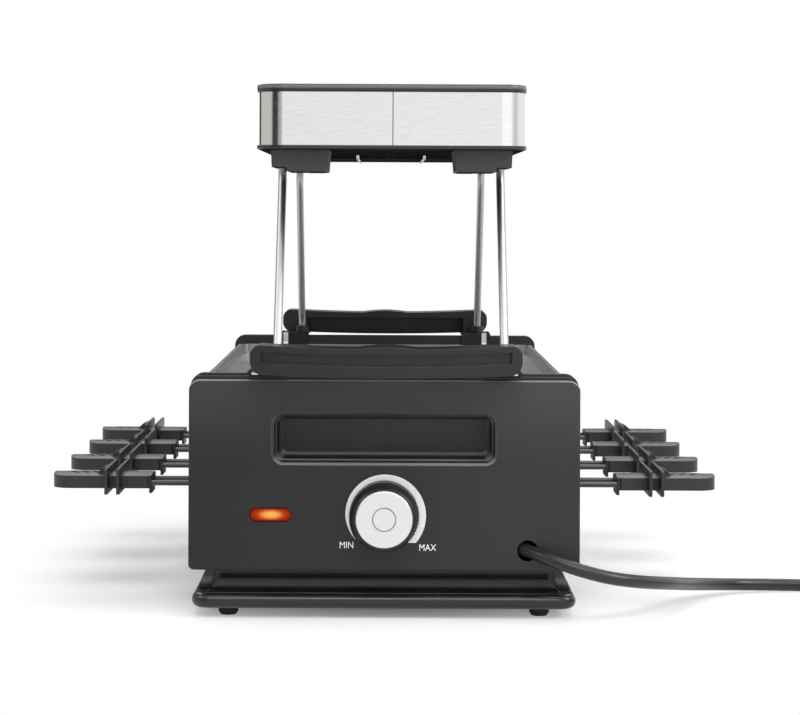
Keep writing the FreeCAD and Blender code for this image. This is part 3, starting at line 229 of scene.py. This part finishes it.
def brushGroup():
    facts = brushFacts
    outputs = {"Normal": "Vector", "Value": "Float", "Bands": "Float"}
    group, given, result = newGroup("brushedLines", facts["inputs"], outputs)
    drawn = scaled(group, objectPlace(group), given["Stretch"])
    fine = noise(group, drawn, 1.0, 4.0, Roughness=facts["rough"])
    wide = addNode(group, "VectorMath", {0: drawn, "Scale": facts["bands"]}, operation="SCALE").outputs[0]
    bump = {"Strength": given["Depth"], "Distance": facts["height"], "Height": fine}
    group.links.new(addNode(group, "Bump", bump).outputs[0], result["Normal"])
    group.links.new(fine, result["Value"])
    group.links.new(noise(group, wide, 1.0, 2.0), result["Bands"])
    return group


smearFacts = {
    "inputs": {"Scale": 22.0},
    "bend": 0.8,
    "patches": (0.35, 0.75),
}


def smearGroup():
    facts = smearFacts
    group, given, result = newGroup("handledSmears", facts["inputs"], {"Value": "Float"})
    bent = noise(group, objectPlace(group), given["Scale"], 6.0, Distortion=facts["bend"])
    group.links.new(ramp(group, bent, facts["patches"]), result["Value"])
    return group


effects = {
    "grain": grainGroup(),
    "wear": wearAndSheenGroup(),
    "dust": dustGroup(),
    "brush": brushGroup(),
    "smear": smearGroup(),
}


def addEffect(tree, effect, values=()):
    node = tree.nodes.new("ShaderNodeGroup")
    node.node_tree = effects[effect]
    for socket, value in dict(values).items():
        node.inputs[socket].default_value = value
    return node.outputs


# Materials and meshes

def newMaterial(name):
    material = bpy.data.materials.new(name)
    material.use_nodes = True
    tree = material.node_tree
    return material, tree, tree.nodes["Principled BSDF"]


def wire(tree, shader, values):
    for socket, value in values.items():
        if isinstance(value, bpy.types.NodeSocket):
            tree.links.new(value, shader.inputs[socket])
        elif isinstance(value, tuple):
            shader.inputs[socket].default_value = (*value, 1.0)
        else:
            shader.inputs[socket].default_value = value


# Faces of a strip whose points come in pairs
def stripFaces(count):
    return [(2 * i, 2 * i + 1, 2 * i + 3, 2 * i + 2) for i in range(count)]


def newMesh(name, points, faces):
    data = bpy.data.meshes.new(name)
    data.from_pydata(points, [], faces)
    piece = bpy.data.objects.new(name, data)
    scene.collection.objects.link(piece)
    return piece


def assign(material, nodes):
    for node in nodes:
        piece = bpy.data.objects[node]
        piece.data.materials.clear()
        piece.data.materials.append(material)


print("tools ready")


# Mains lead, lying out to the right and wound up beyond the picture

leadFacts = {
    "diameter": 0.0075,
    "length": 1.30,
    "route": (
        (0.07989, -0.21586, 0.03987),
        (0.08983, -0.22885, 0.03779),
        (0.1079, -0.2373, 0.0317),
        (0.1279, -0.2368, 0.0263),
        (0.1475, -0.2262, 0.0225),
        (0.1700, -0.1965, 0.0173),
        (0.1845, -0.1560, 0.0108),
        (0.2090, -0.1245, 0.0060),
        (0.2370, -0.1155, 0.0046),
        (0.2670, -0.1130, 0.00375),
        (0.2975, -0.1130, 0.00375),
    ),
    "coilCentre": (0.305, -0.160),
    "coilRadius": 0.0470,
    "coilPitch": 0.0083,
    "turns": 1.875,  # inward on the table, and as many outward on top of them
    "crossing": 0.5,  # turn that climbs from the lower layer to the upper one
    "climb": 0.0082,
    "steps": 16,
}


def coilPoint(turn):
    facts = leadFacts
    middle = facts["turns"] + facts["crossing"] / 2
    share = min(max((turn - facts["turns"]) / facts["crossing"], 0.0), 1.0)
    height = facts["climb"] * (1 - math.cos(math.pi * share)) / 2
    radius = facts["coilRadius"] - facts["coilPitch"] * min(turn, 2 * middle - turn)
    angle = 2 * math.pi * turn
    x = facts["coilCentre"][0] + radius * math.sin(angle)
    y = facts["coilCentre"][1] + radius * math.cos(angle)
    return (x, y, facts["diameter"] / 2 + height)


def makeLead():
    facts = leadFacts
    last = 2 * facts["turns"] + facts["crossing"]
    count = round(last * facts["steps"])
    points = list(facts["route"]) + [coilPoint(last * i / count) for i in range(count + 1)]
    x, y, z = points[-1]
    points.append((x, y - facts["diameter"], z))
    data = bpy.data.curves.new("mainsLead", "CURVE")
    data.dimensions = "3D"
    data.bevel_depth = 1.0  # the thickness is in each point's radius, so that the bounds hold the lead only
    data.bevel_resolution = 6
    data.resolution_u = 8
    spline = data.splines.new("NURBS")
    spline.points.add(len(points) - 1)
    for point, place in zip(spline.points, points):
        point.co = (*place, 1.0)
        point.radius = facts["diameter"] / 2
    spline.order_u = 3
    spline.use_endpoint_u = True
    piece = bpy.data.objects.new("mainsLead", data)
    scene.collection.objects.link(piece)
    return piece


lead = makeLead()
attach(lead, "body")
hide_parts("mains_cord", "cord_coil")
print("lead laid")


# Plastics and painted sheet. Each finish names only what differs from the usual one.

usualPlastic = {
    "size": 0.0006,  # cells of the moulded grain
    "depth": 0.25,
    "tones": (0.90, 1.12),
    "soft": 0.0008,  # radius that edges seem rounded to
    "wide": 0.0007,  # width of their wear
    "wear": 0.3,
    "evenSheen": 0.0,
    "dust": 0.15,
    "dustColour": (0.36, 0.35, 0.34),
    "spread": (-0.04, 0.07),  # smears, added to the roughness
    "shine": 0.5,
    "coat": 0.0,
    "coatRough": 0.3,
}
plasticFinishes = {
    "panelPaint": {
        "colour": (0.014, 0.014, 0.015), "worn": (0.12, 0.12, 0.125), "rough": 0.36, "shine": 0.32,
        # worn colour on its edges: real wear in patches, and a painted highlight evenly along every edge
        "size": 0.0005, "depth": 0.10, "soft": 0.0006, "wide": 0.0011, "wear": 0.7, "evenSheen": 0.6, "dust": 0.04,
        # painted light: the panel's colour grows lighter to the top and the right, where the soft light falls
        "paintedLight": {"colour": (0.046, 0.046, 0.048), "rise": (0.088, 0.134), "riseShare": 0.68,
                 "side": (-0.12, 0.12), "sideShare": 0.36},
        "nodes": ("front_panel", "rear_panel"),
    },
    "blackMoulding": {
        "colour": (0.010, 0.010, 0.011), "worn": (0.06, 0.06, 0.06), "rough": 0.36,
        "soft": 0.0012, "dust": 0.08,
        "nodes": ("front_end_frame", "rear_end_frame"),
    },
    "baseMoulding": {
        "colour": (0.010, 0.010, 0.011), "worn": (0.05, 0.05, 0.05), "rough": 0.23,
        "depth": 0.08, "soft": 0.0010, "dust": 0.03,
        # painted highlight across the cove under the body
        "line": {"from": (0.0158, 0.0180), "to": (0.0218, 0.0192), "colour": (0.13, 0.13, 0.13)},
        "nodes": ("base_ring", "base_shells"),
    },
    "coverMoulding": {
        "colour": (0.016, 0.016, 0.017), "worn": (0.07, 0.07, 0.07), "rough": 0.24,
        "depth": 0.08, "soft": 0.0012, "wear": 0.25, "dust": 0.05,
        # painted highlight across the cover's rounded top
        "line": {"from": (0.3050, 0.3060), "to": (0.3075, 0.3067), "colour": (0.12, 0.12, 0.12)},
        "nodes": ("hood_cover",),
    },
    "hoodMoulding": {
        "colour": (0.018, 0.018, 0.019), "worn": (0.07, 0.07, 0.07), "rough": 0.24,
        "depth": 0.08, "soft": 0.0012, "wear": 0.25, "dust": 0.05, "dullBelow": (-0.9, -0.4),
        "nodes": ("hood_lower_rim", "power_button"),
    },
    "bracketPlastic": {
        "colour": (0.028, 0.028, 0.029), "worn": (0.03, 0.03, 0.03), "rough": 0.36,
        "wear": 0.0, "dust": 0.05, "dullBelow": (-0.9, -0.4),
        "nodes": ("hood_brackets",),
    },
    "handlePlastic": {
        "colour": (0.006, 0.006, 0.0065), "worn": (0.06, 0.06, 0.06), "rough": 0.38,
        "dust": 0.05,
        "nodes": ("front_plate_handle", "rear_plate_handle", "leg_cups"),
    },
    "panPlastic": {
        "colour": (0.016, 0.016, 0.017), "worn": (0.06, 0.06, 0.06), "rough": 0.42,
        "wear": 0.4, "dust": 0.06,
        "nodes": [f"pan_handle_{n}" for n in range(1, 9)],
    },
    "panCoat": {
        "colour": (0.014, 0.014, 0.015), "worn": (0.10, 0.10, 0.10), "rough": 0.34, "coat": 0.3,
        "size": 0.0009, "depth": 0.2, "wear": 0.5,
        "nodes": [f"pan_tray_{n}" for n in range(1, 9)],
    },
    "knobPlastic": {
        "colour": (0.012, 0.012, 0.013), "worn": (0.03, 0.03, 0.03), "rough": 0.38,
        "wear": 0.1, "dust": 0.0,
        "nodes": ("knob_skirt",),
    },
    "footRubber": {
        "colour": (0.014, 0.014, 0.014), "worn": (0.04, 0.04, 0.04), "rough": 0.72,
        "size": 0.0009, "depth": 0.4, "dust": 0.3,
        "nodes": ("rubber_feet",),
    },
    "innerPlastic": {
        "colour": (0.46, 0.43, 0.37), "worn": (0.6, 0.57, 0.5), "rough": 0.45,
        "wear": 0.1,
        "nodes": ("thermostat_body", "lamp_holder", "terminal_block", "battery_pack", "button_switch"),
    },
    "darkMetal": {
        "colour": (0.012, 0.012, 0.013), "worn": (0.16, 0.16, 0.16), "rough": 0.38,
        "size": 0.0012, "depth": 0.1, "wear": 0.4, "dullBelow": (-0.9, -0.4),
        "nodes": ("pan_deck", "lower_walls", "fan_plate", "front_fan_rotor", "rear_fan_rotor"),
    },
    "leadSheath": {
        "colour": (0.014, 0.014, 0.015), "worn": (0.04, 0.04, 0.04), "rough": 0.32,
        "size": 0.0008, "depth": 0.15, "wear": 0.0, "dust": 0.12,
        "nodes": ("mainsLead", "cable_gland", "plug_body"),
    },
}
lipHighlightFacts = {
    "tilted": (0.2, 0.5),
    "flat": (0.99, 0.9),
    "recess": (0.09, 0.08),
    "sideways": 0.2,
    # colour of the painted highlight on the lips
    "colour": (0.21, 0.21, 0.215),
}


# Painted highlights on rounded lips that face up, along the top edge too, and weaker ones on those that face sideways
# round the pressed recess
def lipLight(tree, x):
    facts = lipHighlightFacts
    normal = normalAxes(tree)
    across = math2(tree, "ABSOLUTE", normal["X"])
    upMask, sideMask = (
        product(tree, ramp(tree, tilt, facts["tilted"]), ramp(tree, tilt, facts["flat"]))
        for tilt in (normal["Z"], across)
    )
    near = ramp(tree, math2(tree, "ABSOLUTE", x), facts["recess"])
    sideMask = product(tree, product(tree, sideMask, near), facts["sideways"])
    return math2(tree, "MAXIMUM", upMask, sideMask)


# Painted light on the painted sheet: its colour grows lighter to the top and to the right, where a large soft light
# falls on it
def paintedLightTone(tree, tone, facts):
    axes = objectAxes(tree)
    rise = product(tree, ramp(tree, axes["Z"], facts["rise"]), facts["riseShare"])
    side = product(tree, ramp(tree, axes["X"], facts["side"]), facts["sideShare"])
    tone = mixColour(tree, math2(tree, "ADD", rise, side), tone, facts["colour"])
    return mixColour(tree, lipLight(tree, axes["X"]), tone, lipHighlightFacts["colour"])


def plastic(name, finish):
    facts = {**usualPlastic, **finish}
    material, tree, shader = newMaterial(name)
    grain = addEffect(tree, "grain", {"Size": facts["size"], "Depth": facts["depth"], "Round": facts["soft"]})
    wear = addEffect(tree, "wear", {"Width": facts["wide"], "Amount": facts["wear"], "EvenSheen": facts["evenSheen"]})
    dust = addEffect(tree, "dust", {"Amount": facts["dust"]})
    smear = addEffect(tree, "smear")
    low, high = (shaded(facts["colour"], share) for share in facts["tones"])
    tone = mixColour(tree, grain["Value"], low, high)
    # painted light on the panel's colour, lighter to the top and the right
    if "paintedLight" in facts:
        tone = paintedLightTone(tree, tone, facts["paintedLight"])
    if "line" in facts:  # painted highlight along a moulded step, between two heights
        z = objectAxes(tree)["Z"]
        line = product(tree, ramp(tree, z, facts["line"]["from"]), ramp(tree, z, facts["line"]["to"]))
        tone = mixColour(tree, line, tone, facts["line"]["colour"])
    shine = facts["shine"]
    if "dullBelow" in facts:  # faces that look down lose their reflection, a painted shade under things
        shine = product(tree, ramp(tree, normalAxes(tree)["Z"], facts["dullBelow"]), shine)
    tone = mixColour(tree, wear["Mask"], tone, facts["worn"])
    wire(tree, shader, {
        "Base Color": mixColour(tree, dust["Mask"], tone, facts["dustColour"]),
        "Roughness": mixValue(tree, smear["Value"], *(facts["rough"] + more for more in facts["spread"])),
        "Normal": grain["Normal"],
        "Specular IOR Level": shine,
        "Coat Weight": facts["coat"],
        "Coat Roughness": facts["coatRough"],
    })
    assign(material, facts["nodes"])


for name, finish in plasticFinishes.items():
    plastic(name, finish)
print("plastics on")


# Metals with drawn lines, where stretch says how fine the lines are along each axis

usualMetal = {
    "patches": 0.35,
    "smears": 14.0,
    "spread": 0.05,
    "turned": 0.0,
    "stain": 0.6,
    "shadeColour": (0.03, 0.03, 0.03),
}
metalFinishes = {
    "brushedSteel": {
        "colour": (0.96, 0.96, 0.955), "dark": (0.66, 0.66, 0.655), "rough": 0.16, "spread": 0.012,
        "stretch": (150.0, 150.0, 1500.0), "depth": 0.30, "turned": 0.4, "patches": 0.2,
        # painted shadow of the cover along the band's top
        "shade": (0.3031, 0.3036),
        "nodes": ("hood_band",),
    },
    "wireSteel": {
        "colour": (0.56, 0.56, 0.56), "dark": (0.44, 0.44, 0.44), "rough": 0.38,
        "stretch": (900.0, 900.0, 30.0), "depth": 0.05,
        "nodes": ("hood_legs",),
    },
    "platedSheet": {
        "colour": (0.62, 0.63, 0.64), "dark": (0.45, 0.46, 0.47), "rough": 0.36,
        "stretch": (120.0, 14.0, 120.0), "depth": 0.08,
        "nodes": ("side_rails", "bottom_plate", "end_shields", "element_brackets"),
    },
    "elementSteel": {
        "colour": (0.34, 0.33, 0.31), "dark": (0.16, 0.15, 0.14), "rough": 0.38,
        "stretch": (300.0, 30.0, 300.0), "depth": 0.1, "stainColour": (0.20, 0.13, 0.09),
        "nodes": ("heating_element",),
    },
    "motorMetal": {
        "colour": (0.58, 0.58, 0.58), "dark": (0.40, 0.40, 0.40), "rough": 0.30,
        "stretch": (60.0, 60.0, 900.0), "depth": 0.1,
        "nodes": ("fan_motors", "thermostat_shaft"),
    },
    "pinMetal": {
        "colour": (0.78, 0.75, 0.66), "dark": (0.60, 0.57, 0.48), "rough": 0.2,
        "stretch": (400.0, 400.0, 60.0), "depth": 0.05,
        "nodes": ("plug_pins",),
    },
}


def metal(name, finish):
    facts = {**usualMetal, **finish}
    material, tree, shader = newMaterial(name)
    brush = addEffect(tree, "brush", {"Stretch": facts["stretch"], "Depth": facts["depth"]})
    smear = addEffect(tree, "smear", {"Scale": facts["smears"]})["Value"]
    tone = mixColour(tree, brush["Value"], facts["dark"], facts["colour"])
    tone = mixColour(tree, mixValue(tree, brush["Bands"], 0.0, facts["patches"]), tone, facts["dark"])
    if "stainColour" in facts:  # colour that heat leaves
        tone = mixColour(tree, mixValue(tree, smear, 0.0, facts["stain"]), tone, facts["stainColour"])
    if "shade" in facts:  # painted shadow that the cover casts along the top of the band
        tone = mixColour(tree, ramp(tree, objectAxes(tree)["Z"], facts["shade"]), tone, facts["shadeColour"])
    wire(tree, shader, {
        "Base Color": tone,
        "Metallic": 1.0,
        "Roughness": mixValue(tree, smear, facts["rough"], facts["rough"] + facts["spread"]),
        "Normal": brush["Normal"],
        "Anisotropic": facts["turned"],
    })
    assign(material, facts["nodes"])


for name, finish in metalFinishes.items():
    metal(name, finish)
print("metals on")


# Dark coat with bare steel between two distances from the middle along one axis; on the filter, the dark coat, which
# has no reflection, is painted shade under the hood

bareFinishes = {
    "strapSteel": {"dark": (0.035, 0.035, 0.035), "axis": "X", "from": 0.0722, "to": 0.0757, "node": "handle_straps"},
    # the filter's dark coat above its lower edge is painted shade under the hood
    "filterShadedMetal": {"dark": (0.015, 0.015, 0.015), "axis": "Z", "from": 0.0, "to": 0.2703, "node": "filter_cassette"},
}
bareFacts = {
    "grain": {"Size": 0.0008, "Depth": 0.12},
    "smeared": 1.5,
    "steel": ((0.70, 0.70, 0.70), (0.86, 0.86, 0.85)),
    "coatRough": 0.6,
    "steelRough": 0.25,
}


def partBare(name, finish):
    facts = bareFacts
    material, tree, shader = newMaterial(name)
    place = math2(tree, "ABSOLUTE", objectAxes(tree)[finish["axis"]])
    middle = (finish["from"] + finish["to"]) / 2
    reach = (finish["to"] - finish["from"]) / 2
    bare = addNode(tree, "Math", {0: place, 1: middle, 2: reach}, operation="COMPARE").outputs[0]
    grain = addEffect(tree, "grain", facts["grain"])
    smear = addEffect(tree, "smear")["Value"]
    coat = mixColour(tree, smear, finish["dark"], shaded(finish["dark"], facts["smeared"]))
    wire(tree, shader, {
        "Base Color": mixColour(tree, bare, coat, mixColour(tree, grain["Value"], *facts["steel"])),
        "Metallic": bare,
        "Roughness": mixValue(tree, bare, facts["coatRough"], facts["steelRough"]),
        "Specular IOR Level": 0.0,
        "Normal": grain["Normal"],
    })
    assign(material, [finish["node"]])


for name, finish in bareFinishes.items():
    partBare(name, finish)


# Grilling plate, coated and finely speckled

plateFacts = {
    "grain": {"Size": 0.0011, "Depth": 0.2},
    "wear": {"Amount": 0.5},
    "smears": {"Scale": 16.0},
    "speckScale": 1500.0,
    "specks": (0.56, 0.72),
    "coat": (0.24, 0.24, 0.242),
    "speck": (0.44, 0.44, 0.45),
    "cloud": (0.07, 0.07, 0.072),
    "clouds": 0.4,
    "worn": (0.42, 0.42, 0.42),
    "rough": (0.30, 0.40),
}


def plateCoat():
    facts = plateFacts
    material, tree, shader = newMaterial("plateCoat")
    grain = addEffect(tree, "grain", facts["grain"])
    specks = ramp(tree, noise(tree, objectPlace(tree), facts["speckScale"], 2.0), facts["specks"])
    tone = mixColour(tree, specks, facts["coat"], facts["speck"])
    tone = mixColour(tree, mixValue(tree, grain["Value"], 0.0, facts["clouds"]), tone, facts["cloud"])
    wire(tree, shader, {
        "Base Color": mixColour(tree, addEffect(tree, "wear", facts["wear"])["Mask"], tone, facts["worn"]),
        "Roughness": mixValue(tree, addEffect(tree, "smear", facts["smears"])["Value"], *facts["rough"]),
        "Normal": grain["Normal"],
        "Specular IOR Level": 0.7,
        "Coat Weight": 0.9,
        "Coat Roughness": 0.22,
    })
    assign(material, ["grill_plate"])


plateCoat()


# Knob's cap, spun round its axis, with an engraved ring darkened unevenly round it: painted shade in the groove

capFacts = {
    "axisHeight": 0.0595,
    "lines": 5200.0,
    "lineDepth": 0.14,
    "lineHeight": 0.0001,
    "tones": ((0.77, 0.76, 0.765), (0.85, 0.84, 0.845)),
    "ringInside": (0.0060, 0.0064),
    "ringOutside": (0.0071, 0.0067),
    "grooveShadeColour": (0.22, 0.22, 0.23),
    "ringUneven": (0.5, 1.2),
    "ringWaves": 0.7,
    "smears": {"Scale": 30.0},
    "rough": (0.34, 0.42),
}


def spunCap():
    facts = capFacts
    material, tree, shader = newMaterial("spunCap")
    axes = objectAxes(tree)
    height = math2(tree, "SUBTRACT", axes["Z"], facts["axisHeight"])
    distance = lengthOf(tree, addNode(tree, "CombineXYZ", {0: axes["X"], 1: height}).outputs[0])
    turn = math2(tree, "ARCTAN2", axes["X"], height)
    lines, uneven = (
        addNode(tree, "TexNoise", {"W": along, "Scale": scale, "Detail": detail}, noise_dimensions="1D").outputs[0]
        for along, scale, detail in (
            (product(tree, distance, facts["lines"]), 1.0, 3.0),
            (turn, facts["ringWaves"], 1.0),
        )
    )
    # painted shade in the engraved groove, uneven round the ring
    ring = product(tree, ramp(tree, distance, facts["ringInside"]), ramp(tree, distance, facts["ringOutside"]))
    ring = product(tree, ring, mixValue(tree, uneven, *facts["ringUneven"]))
    bump = {"Strength": facts["lineDepth"], "Distance": facts["lineHeight"], "Height": lines}
    wire(tree, shader, {
        "Base Color": mixColour(tree, ring, mixColour(tree, lines, *facts["tones"]), facts["grooveShadeColour"]),
        "Metallic": 0.85,
        "Roughness": mixValue(tree, addEffect(tree, "smear", facts["smears"])["Value"], *facts["rough"]),
        "Normal": addNode(tree, "Bump", bump).outputs[0],
        "Anisotropic": 0.4,
    })
    assign(material, ["knob_cap"])


spunCap()


# Pilot lamp: a lens with round ends, hot in the middle and dark at its rim

lampFacts = {
    "centre": (-0.0652, 0.0597),
    "halfFlat": 0.00835,
    "spread": (88.0, 0.0, 225.0),
    "ribs": 420.0,
    "ribShare": 0.85,
    "core": (1.05, 0.1),
    "hot": (0.72, 0.1),
    "rim": (0.0027, 0.0037),
    "endColour": (0.26, 0.012, 0.003),
    "coreColour": (0.98, 0.13, 0.016),
    "hotColour": (1.0, 0.52, 0.12),
    "rimColour": (0.03, 0.002, 0.001),
}


def lampGlow():
    facts = lampFacts
    material, tree, shader = newMaterial("lampGlow")
    place = objectPlace(tree)
    x, z = facts["centre"]
    shifted = addNode(tree, "VectorMath", {0: place, 1: (-x, 0.0, -z)}, operation="ADD").outputs[0]
    axes = addNode(tree, "SeparateXYZ", {0: shifted}).outputs
    along = math2(tree, "SUBTRACT", math2(tree, "ABSOLUTE", axes["X"]), facts["halfFlat"])
    along = math2(tree, "MAXIMUM", along, 0.0)
    edge = lengthOf(tree, addNode(tree, "CombineXYZ", {0: along, 1: axes["Z"]}).outputs[0])
    away = lengthOf(tree, scaled(tree, shifted, facts["spread"]))
    wave = {"Vector": place, "Scale": facts["ribs"], "Distortion": 0.6}
    ribs = addNode(tree, "TexWave", wave, bands_direction="X").outputs[1]
    core = product(tree, ramp(tree, away, facts["core"]), mixValue(tree, ribs, facts["ribShare"], 1.0))
    glow = mixColour(tree, core, facts["endColour"], facts["coreColour"])
    glow = mixColour(tree, ramp(tree, away, facts["hot"]), glow, facts["hotColour"])
    wire(tree, shader, {
        "Base Color": (0.06, 0.003, 0.001),
        "Roughness": 0.3,
        "Specular IOR Level": 0.05,
        "Emission Color": mixColour(tree, ramp(tree, edge, facts["rim"]), glow, facts["rimColour"]),
        "Emission Strength": 0.92,
    })
    assign(material, ["lamp_lens"])


lampGlow()
print("finishes on")


# Printing on the front panel: the growing arc and its two words

printFacts = {
    "face": -0.22004,
    "centre": (0.0, 0.0595),
    "inner": 0.0200,
    "outer": 0.0216,
    "growth": (0.0046, -0.0020),
    "point": 0.0016,
    "pointShare": 6.0,
    "from": 222.5,
    "to": (-52.5, -41.0),
    "steps": 96,
    "letters": 0.0053,
    "narrow": 0.88,
    "bold": 0.00003,
    "words": (("MIN", -0.0216, 0.0405), ("MAX", 0.0250, 0.0392)),
    "thin": (0.25, 0.5),
    "thinScale": 1200.0,
    "colours": ((0.74, 0.74, 0.75), (0.90, 0.90, 0.91)),
}


def printInk():
    facts = printFacts
    material, tree, shader = newMaterial("printInk")
    thin = ramp(tree, noise(tree, objectPlace(tree), facts["thinScale"], 3.0), facts["thin"])
    wire(tree, shader, {"Base Color": mixColour(tree, thin, *facts["colours"]), "Roughness": 0.5})
    return material


# The line starts as a point, widens clockwise and ends level
def makeArc():
    facts = printFacts
    points = []
    for i in range(facts["steps"] + 1):
        share = i / facts["steps"]
        outer = facts["outer"] + facts["growth"][0] * share + facts["growth"][1] * share ** 2
        inner = facts["inner"] + facts["point"] * max(0.0, 1.0 - facts["pointShare"] * share)
        for radius, last in zip((inner, outer), facts["to"]):
            angle = math.radians(facts["from"] + (last - facts["from"]) * share)
            x = facts["centre"][0] + radius * math.cos(angle)
            z = facts["centre"][1] + radius * math.sin(angle)
            points.append((x, facts["face"], z))
    return newMesh("scaleArc", points, stripFaces(facts["steps"]))


def makeWord(word, x, z):
    facts = printFacts
    data = bpy.data.curves.new("word" + word, "FONT")
    data.body = word
    data.size = facts["letters"]
    data.offset = facts["bold"]
    data.align_x = "CENTER"
    piece = bpy.data.objects.new("word" + word, data)
    piece.location = (x, facts["face"], z)
    piece.rotation_euler = (math.pi / 2, 0.0, 0.0)
    piece.scale = (facts["narrow"], 1.0, 1.0)
    scene.collection.objects.link(piece)
    return piece


ink = printInk()
for piece in [makeArc()] + [makeWord(*word) for word in printFacts["words"]]:
    piece.data.materials.append(ink)
    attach(piece, "body")
print("printing done")


# Studio: a floor that fades to white, soft boxes, and cards that only reflections show

floorFacts = {"reach": 14.0, "fade": (0.14, 0.36), "colour": (0.95, 0.95, 0.95), "rough": 0.9}
worldFacts = {"heights": (-0.2, 0.9), "low": (0.36, 0.36, 0.36), "high": (0.62, 0.62, 0.62)}
cardFacts = {
    "distance": 3.0,
    "height": 1.2,
    "step": 5.0,
    "cards": (  # name, first and last angle round the part from the camera's side, brightness
        ("leftFlag", -50.0, -20.0, (0.02, 0.02, 0.02)),
        ("leftShade", -20.0, -9.0, (0.50, 0.50, 0.50)),
        ("leftCard", -130.0, -50.0, (0.62, 0.61, 0.58)),
        ("rightGlow", 9.0, 50.0, (1.22, 1.22, 1.22)),
        ("rightCard", 58.0, 86.0, (0.70, 0.70, 0.70)),
        ("rearFlagLeft", -180.0, -130.0, (0.03, 0.03, 0.03)),
        ("rearFlagRight", 158.0, 180.0, (0.03, 0.03, 0.03)),
    ),
}
lightFacts = (  # name, place, aim, size, watts
    ("topBox", (0.1, 0.1, 1.7), (0.0, 0.0, 0.1), (1.6, 1.2), 10.0),
    ("frontBox", (0.25, -2.0, 1.9), (0.0, -0.1, 0.1), (1.8, 0.9), 22.0),
    ("leftBox", (-1.4, -0.5, 1.3), (0.0, 0.0, 0.15), (0.5, 0.6), 4.0),
    ("rightBox", (1.5, -0.7, 1.3), (0.0, 0.0, 0.15), (0.8, 0.6), 15.0),
    ("rearBox", (0.0, 1.6, 1.2), (0.0, 0.0, 0.2), (1.8, 0.8), 8.0),
)


# Rays that have to find a white background
def seenRays(tree):
    path = addNode(tree, "LightPath").outputs
    seen = math2(tree, "MAXIMUM", path["Is Camera Ray"], path["Is Transmission Ray"])
    return math2(tree, "MAXIMUM", seen, path["Is Glossy Ray"])


def makeFloor():
    facts = floorFacts
    corners = [(facts["reach"] * x, facts["reach"] * y, 0) for x, y in ((-1, -1), (1, -1), (1, 1), (-1, 1))]
    piece = newMesh("floor", corners, [(0, 1, 2, 3)])
    material, tree, shader = newMaterial("paleFloor")
    fade = product(tree, ramp(tree, lengthOf(tree, objectPlace(tree)), facts["fade"]), seenRays(tree))
    wire(tree, shader, {
        "Base Color": mixColour(tree, fade, facts["colour"], (0.0, 0.0, 0.0)),
        "Roughness": facts["rough"],
        "Specular IOR Level": 0.0,
        "Emission Color": (1.0, 1.0, 1.0),
        "Emission Strength": fade,
    })
    piece.data.materials.append(material)


def makeCard(name, start, stop, colour):
    facts = cardFacts
    count = max(1, round(abs(stop - start) / facts["step"]))
    points = []
    for i in range(count + 1):
        angle = math.radians(start + (stop - start) * i / count)
        for z in (0.0, facts["height"]):
            points.append((facts["distance"] * math.sin(angle), -facts["distance"] * math.cos(angle), z))
    piece = newMesh(name, points, stripFaces(count))
    material, tree, shader = newMaterial(name)
    wire(tree, shader, {
        "Base Color": (0.0, 0.0, 0.0),
        "Specular IOR Level": 0.0,
        "Emission Color": colour,
        "Emission Strength": 1.0,
    })
    piece.data.materials.append(material)
    piece.visible_camera = False
    piece.visible_diffuse = False
    piece.visible_shadow = False


def makeLight(name, place, aim, size, power):
    data = bpy.data.lights.new(name, "AREA")
    data.shape = "RECTANGLE"
    data.size, data.size_y = size
    data.energy = power
    light = bpy.data.objects.new(name, data)
    light.location = place
    light.rotation_euler = (Vector(aim) - Vector(place)).to_track_quat("-Z", "Y").to_euler()
    scene.collection.objects.link(light)


def makeWorld():
    facts = worldFacts
    world = bpy.data.worlds.new("studio")
    world.use_nodes = True
    tree = world.node_tree
    height = addNode(tree, "SeparateXYZ", {0: addNode(tree, "TexCoord").outputs["Generated"]}).outputs["Z"]
    sky = mixColour(tree, ramp(tree, height, facts["heights"]), facts["low"], facts["high"])
    light = mixColour(tree, seenRays(tree), sky, (1.0, 1.0, 1.0))
    tree.links.new(light, tree.nodes["Background"].inputs["Color"])
    scene.world = world


makeFloor()
makeWorld()
for card in cardFacts["cards"]:
    makeCard(*card)
for light in lightFacts:
    makeLight(*light)
print("studio lit")


bpy.context.view_layer.update()
